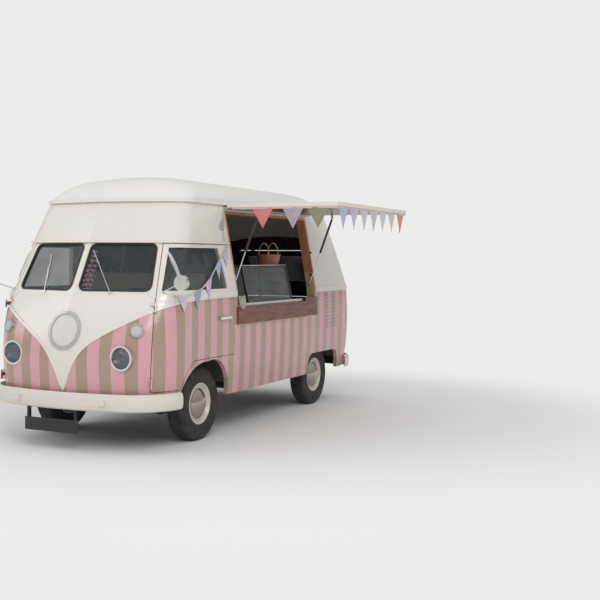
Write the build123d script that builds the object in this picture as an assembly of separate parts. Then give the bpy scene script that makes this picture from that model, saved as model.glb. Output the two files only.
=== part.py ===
from build123d import *
import functools
import math
import os

# A high-roof panel van converted for selling ice cream, in millimetres.
# Building frame: x to the vehicle's left, where the serving hatch is,
# y backwards from the front bumper's face, z up from the ground.
# The finished pieces are moved together so that the origin lies on the ground
# under the middle of the whole outline, with the hatch flap open.

# Overall sizes
BODY_HALF_WIDTH = 876
WALL = 40
BELT_Z = 1265
GUTTER_Z = 2065
SHUT_GAP = 5
SEAT_GAP = 0.3

# Wheels and axles
WHEELBASE = 2400
FRONT_AXLE_Y = 975
REAR_AXLE_Y = FRONT_AXLE_Y + WHEELBASE
TYRE_RADIUS = 316
TYRE_WIDTH = 172
TRACK_HALF = 687
BEAD_RADIUS = 178
RIM_WIDTH = 140
STUB_RADIUS = 16
RUNNING_FIT = 0.05
CAP_BACK = 39
CAP_FACE = 94
CAP_SPHERE = 220
CAP_EDGE_DEG = 36.87
KINGPIN_X = 560
KINGPIN_RADIUS = 14

# Cab doors, seen from the side
DOOR_AHEAD_Y = 150
DOOR_TOP_Z = 1682
DOOR_REAR_Y = 1370
DOOR_BOTTOM_Z = 500
DOOR_OVER_ARCH_Z = 718
PILLAR_Y = DOOR_REAR_Y + SHUT_GAP
WINDOW_FRONT_Y = 388
WINDOW_RAKE = 0.5
WINDOW_BOTTOM_Z = 1300
WINDOW_TOP_Z = 1650
DOOR_FRAME = 22
DIVIDER_Y = 543
DIVIDER_HALF = 7

# The door's front shut line on the body. Columns: height, x, y.
DOOR_FRONT_LINE = (
    (440, 733, 250),
    (680, 742, 239),
    (860, 748, 246),
    (1160, 734, 304),
    (1730, 641, 588),
)
DOOR_CUT_START = 25

# Cab door hinges stand on one line that leans back with the nose.
# Columns: height of the middle, half length.
DOOR_HINGES = ((566, 40), (1168, 34))
DOOR_AXIS_AT = (756, 222, 540)
DOOR_AXIS_LEAN = 0.1
DOOR_PIN_RADIUS = 5
DOOR_TUBE_RADIUS = 9
DOOR_TUBE_SHARE = 0.45
HINGE_LEAF = 62
HINGE_LEAF_THICK = 10
HINGE_LEAF_SINK = 8
NOSE_LEAF_DEG = 164
DOOR_LEAF_DEG = 106

# Serving hatch in the left side and its flap
HATCH_FRONT_Y = 1410
HATCH_REAR_Y = 3150
HATCH_BOTTOM_Z = 965
HATCH_TOP_Z = 1985
FLAP_HINGE_X = 772
FLAP_HINGE_Z = 2012
FLAP_REACH = 1075
FLAP_THICK = 36
HINGE_PIN_RADIUS = 6
HINGE_TUBE_RADIUS = 10
HINGE_LUG = 14
FLAP_FRONT_Y = 1400
FLAP_REAR_Y = 3175
FLAP_CLOSING_DEG = 81.0
BOARD_BOTTOM_Z = 976
BOARD_TOP_Z = 1130
BOARD_REAR_Y = 2870
BOARD_THICK = 22
EDGING_HEIGHT = 8
EDGING_PROUD = 5
END_BOARD_TOP_Z = 1165
END_BOARD_THICK = 8
COUNTER_TOP_Z = 1140
COUNTER_THICK = 25
COUNTER_BACK_X = 420
COUNTER_FRONT_X = 844
COUNTER_RAIL_THICK = 16
COUNTER_RAIL_UP = 17
COUNTER_RAIL_FRONT_Y = 1600
COUNTER_RAIL_REAR_Y = 2900
CASE_FRONT_Y = 1700
CASE_REAR_Y = 2650
CASE_BACK_X = 470
CASE_LOW_X = 842
CASE_HIGH_X = 760
CASE_TOP_Z = 1497
CASE_WALL = 15
BASKET_AT = (640, 2500)
BASKET_HEIGHT = 110
BASKET_FOOT_RADIUS = 95
BASKET_RIM_RADIUS = 125
BASKET_WALL = 9
HANDLE_OFFSET = 50
HANDLE_BAR_RADIUS = 4

# Cargo doors in the right side
CARGO_FRONT_Y = 1420
CARGO_REAR_Y = 2640
CARGO_BOTTOM_Z = 490
CARGO_TOP_Z = 1690
CARGO_MEETING_GAP = 7.2
CARGO_LIP = 12
CARGO_STEP = 8
CARGO_AXIS_X = -(BODY_HALF_WIDTH + 12)
CARGO_HINGE_ZS = (620, 1180)
CARGO_HINGE_HALF = 36
CARGO_TUBE_HALF = 16
CARGO_PIN_RADIUS = 4
CARGO_TUBE_RADIUS = 8
CARGO_STRAP = 42

# Tailgate and engine lid in the rear
TAILGATE_HALF_WIDTH = 470
TAILGATE_BOTTOM_Z = 1120
TAILGATE_TOP_Z = 1650
LID_HALF_WIDTH = 400
LID_BOTTOM_Z = 500
LID_TOP_Z = 880

# Floors
SILL_Z = 365
FLOOR_Z = 500
CAB_FLOOR_Z = 705
ENGINE_DECK_Z = 960
RAIL_FRONT_Y = 346
RAIL_INNER_X = 300
RAIL_OUTER_X = 360
RAIL_BOTTOM_Z = SILL_Z + 5
REAR_MEMBER_Y = 2830
MEMBER_HALF = 30

# Body sections. Columns: height, half width, front at the centre, front heading
# at the centre and at the corner in degrees, front corner radius, rear at the
# centre, rear corner radius.
LOWER_SECTIONS = (
    (SILL_Z, 848, 100, 0, 13, 400, 4120, 200),
    (620, 868, 76, 0, 13, 400, 4205, 200),
    (860, 875, 86, 0, 13, 390, 4222, 200),
    (1080, BODY_HALF_WIDTH, 136, 4, 13, 330, 4210, 200),
    (BELT_Z, 870, 212, 10.9, 11.3, 235, 4182, 190),
)
UPPER_SECTIONS = (
    (BELT_Z, 870, 212, 10.9, 11.3, 235, 4182, 190),
    (1685, 795, 432, 10.9, 11.3, 200, 4005, 185),
    (GUTTER_Z, 722, 632, 10.9, 11.3, 190, 3800, 180),
)
ROOF_SECTIONS = (
    (GUTTER_Z, 720, 634, 10.9, 11.3, 188, 3798, 178),
    (2130, 690, 705, 9, 12, 220, 3752, 220),
    (2195, 610, 800, 6, 12, 240, 3670, 240),
    (2245, 470, 930, 4, 12, 240, 3545, 240),
    (2280, 260, 1130, 2, 12, 180, 3350, 180),
)

nodes = {}


def block(x0, x1, y0, y1, z0, z1):
    """A box between two corners."""
    size = Box(x1 - x0, y1 - y0, z1 - z0)
    return Pos((x0 + x1) / 2, (y0 + y1) / 2, (z0 + z1) / 2) * size


def rod(start, end, radius):
    """A round bar from one point to another."""
    start, end = Vector(start), Vector(end)
    run = end - start
    plane = Plane(origin=start, z_dir=run)
    return extrude(plane * Circle(radius), run.length)


def side_prism(outline, x0, x1):
    """A side-view outline of (y, z) points, carried across from x0 to x1."""
    return extrude(Plane.YZ.offset(x0) * make_face(Polyline(*outline, close=True)), x1 - x0)


def front_prism(outline, y0, y1):
    """A front-view outline of (x, z) points, carried back from y0 to y1."""
    face = Plane.XZ.offset(-y0) * make_face(Polyline(*outline, close=True))
    return extrude(face, y0 - y1)


def mirrored(piece):
    """The same piece on the other side of the vehicle."""
    return mirror(piece, about=Plane.YZ)


def corner_points(half_width, nose, start_deg, end_deg, radius):
    """Points of half a front: crown arc, then corner arc into the flat side."""
    s0, s1 = math.sin(math.radians(start_deg)), math.sin(math.radians(end_deg))
    c0, c1 = math.cos(math.radians(start_deg)), math.cos(math.radians(end_deg))
    corner_x = half_width - radius + radius * s1
    crown = corner_x / (s1 - s0)
    middle = math.radians((start_deg + end_deg) / 2)
    crown_mid = (crown * (math.sin(middle) - s0), nose + crown * (c0 - math.cos(middle)))
    corner_y = nose + crown * (c0 - c1)
    centre_y = corner_y + radius * c1
    bend = math.radians((end_deg + 90) / 2)
    corner_mid = (half_width - radius + radius * math.sin(bend), centre_y - radius * math.cos(bend))
    return crown_mid, (corner_x, corner_y), corner_mid, (half_width, centre_y)


def plan_outline(section, inset):
    """The closed plan outline of one body section, moved inwards by inset."""
    z, half_width, nose, start_deg, end_deg, front_r, tail, rear_r = section
    half_width, nose, tail = half_width - inset, nose + inset, tail - inset
    front = corner_points(half_width, nose, start_deg, end_deg, front_r - inset)
    rear = [(x, -y) for x, y in corner_points(half_width, -tail, 0, 7, rear_r - inset)]
    left = [(x, y, z) for x, y in front + tuple(reversed(rear))]
    right = [(-x, y, z) for x, y in reversed(front + tuple(reversed(rear)))]
    edges = []
    for half, first, last in ((left, (0, nose, z), (0, tail, z)), (right, (0, tail, z), (0, nose, z))):
        edges.append(ThreePointArc(first, half[0], half[1]))
        edges.append(ThreePointArc(half[1], half[2], half[3]))
        edges.append(Line(half[3], half[4]))
        edges.append(ThreePointArc(half[4], half[5], half[6]))
        edges.append(ThreePointArc(half[6], half[7], last))
    return make_face(Wire(edges).edges())


@functools.cache
def hull(sections, inset=0.0):
    """The solid that the body sections enclose, moved inwards by inset."""
    return loft([plan_outline(section, inset) for section in sections])


@functools.cache
def skin(outer_inset, inner_inset):
    """The whole wall of the body between two insets."""
    lower = hull(LOWER_SECTIONS, outer_inset) - hull(LOWER_SECTIONS, inner_inset)
    upper = hull(UPPER_SECTIONS, outer_inset) - hull(UPPER_SECTIONS, inner_inset)
    return lower + upper


@functools.cache
def body_solid(inset=0.0):
    """The whole body below the roof cap as one solid, moved inwards by inset."""
    return hull(LOWER_SECTIONS, inset) + hull(UPPER_SECTIONS, inset)


def rear_centre_y(z):
    """How far back the body reaches on its centre line at a height."""
    rows = LOWER_SECTIONS + UPPER_SECTIONS[1:]
    for low, high in zip(rows, rows[1:]):
        if low[0] <= z <= high[0]:
            return low[6] + (high[6] - low[6]) * (z - low[0]) / (high[0] - low[0])
    return rows[-1][6]


def door_outline(grow=0.0):
    """The cab door seen from the side, its edges moved out by grow."""
    return [
        (DOOR_AHEAD_Y, DOOR_BOTTOM_Z - grow),
        (DOOR_AHEAD_Y, DOOR_TOP_Z + grow),
        (DOOR_REAR_Y + grow, DOOR_TOP_Z + grow),
        (DOOR_REAR_Y + grow, DOOR_OVER_ARCH_Z - grow),
        (690 + grow, DOOR_OVER_ARCH_Z - grow),
        (600 + grow, 655 - grow),
        (505 + grow, 530 - grow),
        (490 + grow, DOOR_BOTTOM_Z - grow),
    ]


def door_edge_wedge(shift):
    """What the oblique front edge takes off the door, moved forward by shift."""
    plan = [(0, 0), (-500, 500), (-900, 500), (-900, -300), (0, -300)]
    rings = []
    for z, x, y in DOOR_FRONT_LINE:
        x, y = x + DOOR_CUT_START, y - DOOR_CUT_START - shift
        rings.append(make_face(Polyline(*[(x + dx, y + dy, z) for dx, dy in plan], close=True)))
    return loft(rings, ruled=True)


@functools.cache
def door_region(grow=0.0):
    """The space that the left cab door takes, with its edges moved out by grow."""
    return side_prism(door_outline(grow), 300, 1200) - door_edge_wedge(grow * math.sqrt(2))


def window_outline(inset=0.0):
    """The cab door's window opening seen from the side."""
    low, high = WINDOW_BOTTOM_Z + inset, WINDOW_TOP_Z - inset
    front, rear = WINDOW_FRONT_Y + inset, DOOR_REAR_Y - 105 - inset
    rake = WINDOW_RAKE * (high - low)
    return [(front, low), (front + rake, high), (rear - 60, high), (rear, low + 60), (rear, low)]


@functools.cache
def window_region(inset=0.0):
    """The door's window opening, whose front edge runs along the oblique door edge."""
    return side_prism(window_outline(inset), 300, 1200) - door_edge_wedge(-(DOOR_FRAME + inset) * math.sqrt(2))


def door_axis_point(z):
    """The point of the left door's hinge line at a height."""
    x, y, low = DOOR_AXIS_AT
    return Vector(x, y + (z - low) * DOOR_AXIS_LEAN, z)


def hinge_barrel(z, start, end, radius):
    """A round piece on the door's hinge line, from start to end along it."""
    along = Vector(0, DOOR_AXIS_LEAN, 1).normalized()
    centre = door_axis_point(z)
    return rod(centre + along * start, centre + along * end, radius)


def hinge_leaf(z, start, end, heading_deg):
    """A flat leaf from the hinge line into the body wall."""
    leaf = Pos(HINGE_LEAF / 2, 0, (start + end) / 2) * Box(HINGE_LEAF, HINGE_LEAF_THICK, end - start)
    leaf = Pos(*door_axis_point(z)) * Rot(0, 0, heading_deg) * leaf
    return leaf - hull(LOWER_SECTIONS, HINGE_LEAF_SINK)


def door_hinge_fixed():
    """What the nose holds of the left door's hinges: two lugs and the pin each."""
    parts = []
    for z, half in DOOR_HINGES:
        tube = half * DOOR_TUBE_SHARE + SEAT_GAP
        for start, end, leaf_start, leaf_end in ((tube, half, tube + 2, half), (-half, -tube, -half, -tube - 2)):
            parts.append(hinge_barrel(z, start, end, DOOR_TUBE_RADIUS))
            parts.append(hinge_leaf(z, leaf_start, leaf_end, NOSE_LEAF_DEG))
        parts.append(hinge_barrel(z, -half, half, DOOR_PIN_RADIUS))
    return parts


def door_hinge_moving():
    """What the left door holds of its hinges: a leaf and a tube round each pin."""
    parts = []
    for z, half in DOOR_HINGES:
        tube = half * DOOR_TUBE_SHARE
        knuckle = hinge_barrel(z, -tube, tube, DOOR_TUBE_RADIUS) + hinge_leaf(z, 2 - tube, tube - 2, DOOR_LEAF_DEG)
        parts.append(knuckle - hinge_barrel(z, -half, half, DOOR_PIN_RADIUS + RUNNING_FIT))
    return parts


def front_arch():
    """The front wheel opening, cut through both sides."""
    points = [(440, 250), (470, 420), (640, 622), (925, 692), (1180, 635), (1290, 400), (1300, 250)]
    edges = [
        Line(points[0], points[1]),
        ThreePointArc(points[1], points[2], points[3]),
        ThreePointArc(points[3], points[4], points[5]),
        Line(points[5], points[6]),
        Line(points[6], points[0]),
    ]
    return extrude(Plane.YZ * make_face(Wire(edges).edges()), 1000, both=True)


def rear_arch():
    """The rear wheel opening, low and flat on top."""
    path = FilletPolyline((2950, 250), (3005, 575), (3745, 575), (3800, 250), radius=110)
    edges = path.edges() + [Line((3800, 250), (2950, 250))]
    return extrude(Plane.YZ * make_face(Wire(edges).edges()), 1000, both=True)


def hatch_outline(inset=0.0):
    """The serving hatch opening seen from the side."""
    return [
        (HATCH_FRONT_Y + inset, HATCH_BOTTOM_Z + inset),
        (HATCH_FRONT_Y + inset, HATCH_TOP_Z - inset),
        (HATCH_REAR_Y - inset, HATCH_TOP_Z - inset),
        (HATCH_REAR_Y - inset, HATCH_BOTTOM_Z + inset),
    ]


def cargo_outline(y0, y1, grow=0.0):
    """One cargo door or its opening seen from the side."""
    return [
        (y0 - grow, CARGO_BOTTOM_Z - grow),
        (y0 - grow, CARGO_TOP_Z + grow),
        (y1 + grow, CARGO_TOP_Z + grow),
        (y1 + grow, CARGO_BOTTOM_Z - grow),
    ]


def rear_outline(half_width, z0, z1, grow=0.0):
    """A rear lid or its opening seen from behind."""
    return [
        (-half_width - grow, z0 - grow),
        (-half_width - grow, z1 + grow),
        (half_width + grow, z1 + grow),
        (half_width + grow, z0 - grow),
    ]


# Windscreen panes. Each is flat, swept back from the centre and raked.
SCREEN_SWEEP = 11.3
SCREEN_RAKE = 27.2
SCREEN_CORNER = (33, 228, 1290)
SCREEN_OUTLINE = [(0, 0), (650, 0), (631, 442), (38, 442)]
SCREEN_SEAL = 15


def screen_plane(depth=0.0):
    """The left pane's plane, its x along the bottom edge and y up the rake."""
    sweep, rake = math.radians(SCREEN_SWEEP), math.radians(SCREEN_RAKE)
    along = Vector(math.cos(sweep), math.sin(sweep), 0)
    back = Vector(-math.sin(sweep), math.cos(sweep), 0)
    up = back * math.sin(rake) + Vector(0, 0, 1) * math.cos(rake)
    out = along.cross(up)
    origin = Vector(*SCREEN_CORNER) - out * depth
    return Plane(origin=origin, x_dir=along, z_dir=out)


def screen_face(inset, depth=0.0):
    """The pane's outline with rounded corners, moved inwards by inset."""
    face = make_face(Polyline(*SCREEN_OUTLINE, close=True))
    face = offset(face, -inset, kind=Kind.INTERSECTION) if inset else face
    radius = 60 - inset
    return screen_plane(depth) * fillet(face.vertices(), radius)


# Raised lines on the body. The belt strip steps out twice; the ridge's outer line
# in front view comes down the nose to a point, and in side view runs back on the
# doors into the belt strip.
BELT_OUT = 8
BELT_STEP_OUT = 4
BELT_STRIP = (1224, 1268)
BELT_STEP = (1213, 1279)
BELT_FRONT_Y = 335
RIDGE_OUT = 5
RIDGE_WIDTH = 24
RIDGE_FRONT = ((0, 475), (40, 560), (150, 770), (328, 921), (760, 1157))
RIDGE_SIDE = ((300, 1138), (332, 1150), (443, 1179), (615, 1201), (880, 1213))
RIDGE_MEET_X = 745
LEDGE_OUT = 22
LEDGE_BOTTOM_Z = 1690
LEDGE_THICK = 10
LEDGE_REAR_Y = 1392
GUTTER_OUT = 26
GUTTER_SHEET = 5
GUTTER_DEPTH = 28
LOUVRE_COUNT = 10
LOUVRE_PITCH = 38.5
LOUVRE_BOTTOM_Z = 828
LOUVRE_HEIGHT = 22
LOUVRE_OUT = 9
LOUVRE_FRONT_Y = 3462
LOUVRE_LENGTH = 306
LOUVRE_LEAN = 5.2


def belt_strip():
    """The moulded strip along both sides and round the rear at window-sill height."""
    strip = skin(-BELT_OUT, 0) & block(-1200, 1200, BELT_FRONT_Y, 4400, *BELT_STRIP)
    step = skin(-BELT_STEP_OUT, 0) & block(-1200, 1200, BELT_FRONT_Y, 4400, *BELT_STEP)
    return strip + step


def nose_ridge():
    """The raised edge of the pointed panel on the nose, run back on to the doors."""
    tip, low, middle, high, end = RIDGE_FRONT
    edges = [Line(tip, low), ThreePointArc(low, middle, high), Line(high, end), Line(end, (end[0], 1500)), Line((end[0], 1500), (0, 1500))]
    half = make_face(Wire(edges + [Line((0, 1500), tip)]).edges())
    face = half + mirror(half, about=Plane.YZ)
    front = Plane.XZ.offset(100)
    band = extrude(front * face, -700) - extrude(front * offset(face, -RIDGE_WIDTH, kind=Kind.INTERSECTION), -700)
    band = band & block(-RIDGE_MEET_X, RIDGE_MEET_X, -100, 600, 400, 1300)
    upper = [(y, z + RIDGE_WIDTH) for y, z in reversed(RIDGE_SIDE)]
    side = side_prism([*RIDGE_SIDE, *upper], 300, 1200)
    return skin(-RIDGE_OUT, 0) & (band + side + mirrored(side))


def louvres():
    """Sloping cooling slats in both rear quarters, one above another."""
    x = BODY_HALF_WIDTH
    slats = []
    for index in range(LOUVRE_COUNT):
        z = LOUVRE_BOTTOM_Z + index * LOUVRE_PITCH
        y = LOUVRE_FRONT_Y - index * LOUVRE_LEAN
        outline = [(x - WALL + 10, z), (x + LOUVRE_OUT, z), (x - 4, z + LOUVRE_HEIGHT), (x - WALL + 10, z + LOUVRE_HEIGHT)]
        slats.append(front_prism(outline, y, y + LOUVRE_LENGTH))
    return [*slats, *(mirrored(slat) for slat in slats)]


def ledge_over_doors():
    """The drip ledge over the windscreen and the cab doors."""
    ledge = hull(UPPER_SECTIONS, -LEDGE_OUT) - hull(UPPER_SECTIONS, WALL)
    return ledge & block(-1200, 1200, -100, LEDGE_REAR_Y, LEDGE_BOTTOM_Z, LEDGE_BOTTOM_Z + LEDGE_THICK)


def roof_gutter():
    """The gutter round the foot of the roof: a flange with an upturned lip."""
    outer = hull(UPPER_SECTIONS, -GUTTER_OUT)
    low = GUTTER_Z - GUTTER_DEPTH
    flange = (outer - hull(UPPER_SECTIONS, WALL)) & block(-1200, 1200, -100, 4400, low, low + GUTTER_SHEET)
    lip = (outer - hull(UPPER_SECTIONS, GUTTER_SHEET - GUTTER_OUT)) & block(-1200, 1200, -100, 4400, low, GUTTER_Z)
    return flange + lip


def build_body():
    """The outer panels, cut from one wall along the real shut lines."""
    wall = skin(0, WALL) + [belt_strip(), nose_ridge(), *louvres()]
    door_hole = door_region(SHUT_GAP)
    holes = door_hole + mirrored(door_hole)
    holes = holes + front_arch() + rear_arch()
    screen_hole = extrude(screen_face(0, 80), 160)
    holes = holes + screen_hole + mirrored(screen_hole)
    holes = holes + side_prism(hatch_outline(), 300, 1200)
    holes = holes + side_prism(cargo_outline(CARGO_FRONT_Y, CARGO_REAR_Y, SHUT_GAP), -1200, -300)
    holes = holes + front_prism(
        rear_outline(TAILGATE_HALF_WIDTH, TAILGATE_BOTTOM_Z, TAILGATE_TOP_Z, SHUT_GAP), 3600, 4400
    )
    holes = holes + front_prism(rear_outline(LID_HALF_WIDTH, LID_BOTTOM_Z, LID_TOP_Z, SHUT_GAP), 3600, 4400)
    shell = (wall - [holes, headlamp_holes()]) + [ledge_over_doors(), roof_gutter()]
    low, high = SILL_Z - 10, GUTTER_Z + 10
    panels = {
        "nose_panel": block(-1200, 1200, -100, PILLAR_Y, low, BELT_Z),
        "forehead_panel": block(-1200, 1200, -100, PILLAR_Y, BELT_Z, high),
        "left_side_panel": block(0, 1200, PILLAR_Y, 3850, low, high),
        "right_side_panel": block(-1200, 0, PILLAR_Y, 3850, low, high),
        "rear_panel": block(-1200, 1200, 3850, 4400, low, high),
    }
    for name, region in panels.items():
        nodes[name] = shell & region
    lugs = door_hinge_fixed()
    nodes["nose_panel"] = nodes["nose_panel"] + [*lugs, *(mirrored(lug) for lug in lugs)]
    nodes["roof_cap"] = hull(ROOF_SECTIONS) - hull(
        tuple((max(GUTTER_Z, z - 24), *rest) for z, *rest in ROOF_SECTIONS), 24
    )
    return wall


HEADLAMP_X = 540
HEADLAMP_Y = 138
HEADLAMP_Z = 770
INDICATOR_AT = (640, 207, 987)
INDICATOR_TURN_DEG = 20
INDICATOR_RADIUS = 58
INDICATOR_DEPTH = 26
TAIL_LAMP_AT = (640, 880)
TAIL_LAMP_RADIUS = 62
ROUNDEL_Z = 975
ROUNDEL_RADIUS = 155
ROUNDEL_RING = 26
ROUNDEL_OUT = 12

# Wipers on the left and the right pane, on the left pane's axes, along the bottom
# edge and up the rake. Columns: side, spindle, blade's lower end, blade's tip.
WIPERS = (
    (1, (300, -16), (148, 248), (65, 378)),
    (-1, (303, -16), (340, 91), (407, 337)),
)
WIPER_ARM_WIDTH = 6
WIPER_ARM_THICK = 5
WIPER_ARM_OUT = 11
WIPER_BLADE_WIDTH = 7
WIPER_BLADE_TOP = 3
WIPER_CLIP = 14
WIPER_POST_RADIUS = 9
PANE_DEPTH = 14
PANE_THICK = 6


def headlamp_holes():
    """Round holes in the nose for the two headlamp bowls."""
    hole = rod((HEADLAMP_X, 0, HEADLAMP_Z), (HEADLAMP_X, 320, HEADLAMP_Z), 92)
    return hole + mirrored(hole)


def build_lamps():
    """Headlamps, front indicators and tail lamps."""
    at = (HEADLAMP_X, HEADLAMP_Y, HEADLAMP_Z)
    bowl = make_face(
        Polyline((0, 96), (60, 96), (88, 10), (102, 10), (102, 0), (102, -24), (86, -24), (80, -10), (80, 0), (56, 86), (0, 86), close=True)
    )
    axis = Plane(origin=at, x_dir=(1, 0, 0), z_dir=(0, 0, 1))
    lamp = revolve(axis * bowl, Axis(at, (0, 1, 0)))
    seat = hull(LOWER_SECTIONS, -SEAT_GAP)
    inner = rod((HEADLAMP_X, HEADLAMP_Y - 60, HEADLAMP_Z), (HEADLAMP_X, HEADLAMP_Y + 200, HEADLAMP_Z), 91.7)
    lamp = (lamp - seat) + (lamp & inner)
    nodes["headlamps"] = lamp + mirrored(lamp)
    lens = make_face(
        Polyline((0, -30), (40, -27), (79.7, -14), (79.7, -8), (40, -20), (0, -24), close=True)
    )
    lens = revolve(axis * lens, Axis(at, (0, 1, 0)))
    nodes["headlamp_lenses"] = lens + mirrored(lens)
    turn = math.radians(INDICATOR_TURN_DEG)
    outward = Vector(math.sin(turn), -math.cos(turn), 0.2).normalized()
    base = Vector(*INDICATOR_AT)
    body = rod(base - outward * 40, base + outward * INDICATOR_DEPTH, INDICATOR_RADIUS) - seat
    tail_x, tail_z = TAIL_LAMP_AT
    tail_y = rear_centre_y(tail_z)
    tail = rod((tail_x, tail_y - 150, tail_z), (tail_x, tail_y, tail_z), TAIL_LAMP_RADIUS) - seat
    nodes["signal_lamps"] = Compound([*body.solids(), *mirrored(body).solids(), *tail.solids(), *mirrored(tail).solids()])


def build_glass_and_trim():
    """Windscreen panes and seals, the roundel and the wipers."""
    pane = extrude(screen_face(SCREEN_SEAL + SEAT_GAP, PANE_DEPTH), PANE_THICK)
    nodes["windscreen_panes"] = pane + mirrored(pane)
    seal = extrude(screen_face(SEAT_GAP, 20) - screen_face(SCREEN_SEAL, 20), 24)
    nodes["windscreen_seals"] = seal + mirrored(seal)
    disc = rod((0, 0, ROUNDEL_Z), (0, 300, ROUNDEL_Z), ROUNDEL_RADIUS)
    middle = rod((0, 0, ROUNDEL_Z), (0, 300, ROUNDEL_Z), ROUNDEL_RADIUS - ROUNDEL_RING)
    body = hull(LOWER_SECTIONS)
    ring = (hull(LOWER_SECTIONS, -ROUNDEL_OUT) - body) & (disc - middle)
    nodes["front_roundel"] = ring + ((hull(LOWER_SECTIONS, -RIDGE_OUT) - body) & disc)
    wipers = [wiper(*row) for row in WIPERS]
    nodes["wipers"] = Compound([solid for piece in wipers for solid in piece.solids()])


def level_beside_pane(spot):
    """How high the body's surface stands over the left pane's plane at a spot."""
    plane = screen_plane()
    reach = WALL + 20
    probe = Edge.make_line(plane.from_local_coords(Vector(*spot, -reach)), plane.from_local_coords(Vector(*spot, reach)))
    inside = hull(UPPER_SECTIONS) & probe
    return max(plane.to_local_coords(vertex.center()).Z for vertex in inside.vertices())


def wiper(side, spindle, low, tip):
    """One wiper: a spindle on the body, an arm and a blade resting on its pane."""
    level = WIPER_ARM_OUT
    glass = PANE_THICK - PANE_DEPTH + SEAT_GAP
    middle = ((low[0] + tip[0]) / 2, (low[1] + tip[1]) / 2)
    run = math.dist(low, tip)
    turn = math.degrees(math.atan2(tip[1] - low[1], tip[0] - low[0]))
    depth = WIPER_BLADE_TOP - glass
    blade = Pos(*middle, glass + depth / 2) * Rot(0, 0, turn) * Box(run, WIPER_BLADE_WIDTH, depth)
    rise = level - WIPER_BLADE_TOP
    clip = Pos(*middle, level - rise / 2) * Rot(0, 0, turn) * Box(WIPER_CLIP, WIPER_BLADE_WIDTH, rise)
    reach = math.dist(spindle, middle)
    lean = math.degrees(math.atan2(middle[1] - spindle[1], middle[0] - spindle[0]))
    arm = Pos(*spindle, level) * Rot(0, 0, lean) * Pos(reach / 2, 0, 0) * Box(reach, WIPER_ARM_WIDTH, WIPER_ARM_THICK)
    foot = level_beside_pane(spindle) + SEAT_GAP
    post = rod((*spindle, foot), (*spindle, level + WIPER_ARM_THICK), WIPER_POST_RADIUS)
    piece = screen_plane() * (blade + clip + arm + post)
    return piece if side > 0 else mirrored(piece)


HANDLE_FRONT_Y = 1085
HANDLE_REAR_Y = 1275
HANDLE_Z = 1047
MIRROR_ROOT = (738, 392, 1284)
MIRROR_HEAD = (985, 300, 1370)
MIRROR_RADIUS = 62


def build_cab_doors(wall):
    """Both front doors: shell, glass, handle, quarter-light divider and mirror."""
    shell = wall & door_region()
    shell = shell - window_region()
    shell = shell + door_hinge_moving()
    low, high = WINDOW_BOTTOM_Z - 20, WINDOW_TOP_Z + 20
    front, rear = DIVIDER_Y - DIVIDER_HALF, DIVIDER_Y + DIVIDER_HALF
    divider = wall & window_region(SEAT_GAP) & block(300, 1200, front, rear, low, high)
    pane = skin(PANE_DEPTH, PANE_DEPTH + 5) & window_region(SEAT_GAP)
    pane = pane - block(300, 1200, front - SEAT_GAP, rear + SEAT_GAP, low, high)
    grip_x = BODY_HALF_WIDTH + 4
    handle = block(grip_x, grip_x + 25, HANDLE_FRONT_Y, HANDLE_REAR_Y, HANDLE_Z - 11, HANDLE_Z + 11)
    for y in (HANDLE_FRONT_Y + 7, HANDLE_REAR_Y - 27):
        handle = handle + block(grip_x - 12, grip_x + 10, y, y + 20, HANDLE_Z - 11, HANDLE_Z + 11)
    handle = handle - hull(LOWER_SECTIONS, -SEAT_GAP)
    arm = rod(MIRROR_ROOT, MIRROR_HEAD, 6) - hull(UPPER_SECTIONS, -SEAT_GAP)
    x, y, z = MIRROR_HEAD
    glass = rod((x, y - 14, z), (x, y + 18, z), MIRROR_RADIUS)
    pieces = [handle, max((arm + glass).solids(), key=lambda solid: solid.volume), divider]
    fittings = Compound([solid for piece in pieces for solid in piece.solids()])
    parts = {"door": shell, "door_glass": pane, "door_fittings": fittings}
    for name, piece in parts.items():
        nodes["left_" + name] = piece
        nodes["right_" + name] = mirrored(piece)


def cargo_strap(pin_y, toward, z0, z1):
    """A barrel on a cargo door's hinge line with a strap on to the wall beside it."""
    near, far = sorted((pin_y, pin_y + toward * CARGO_STRAP))
    strap = block(CARGO_AXIS_X - CARGO_PIN_RADIUS, CARGO_AXIS_X + 35, near, far, z0, z1)
    strap = strap - hull(LOWER_SECTIONS, HINGE_LEAF_SINK)
    return strap + rod((CARGO_AXIS_X, pin_y, z0), (CARGO_AXIS_X, pin_y, z1), CARGO_TUBE_RADIUS)


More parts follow.
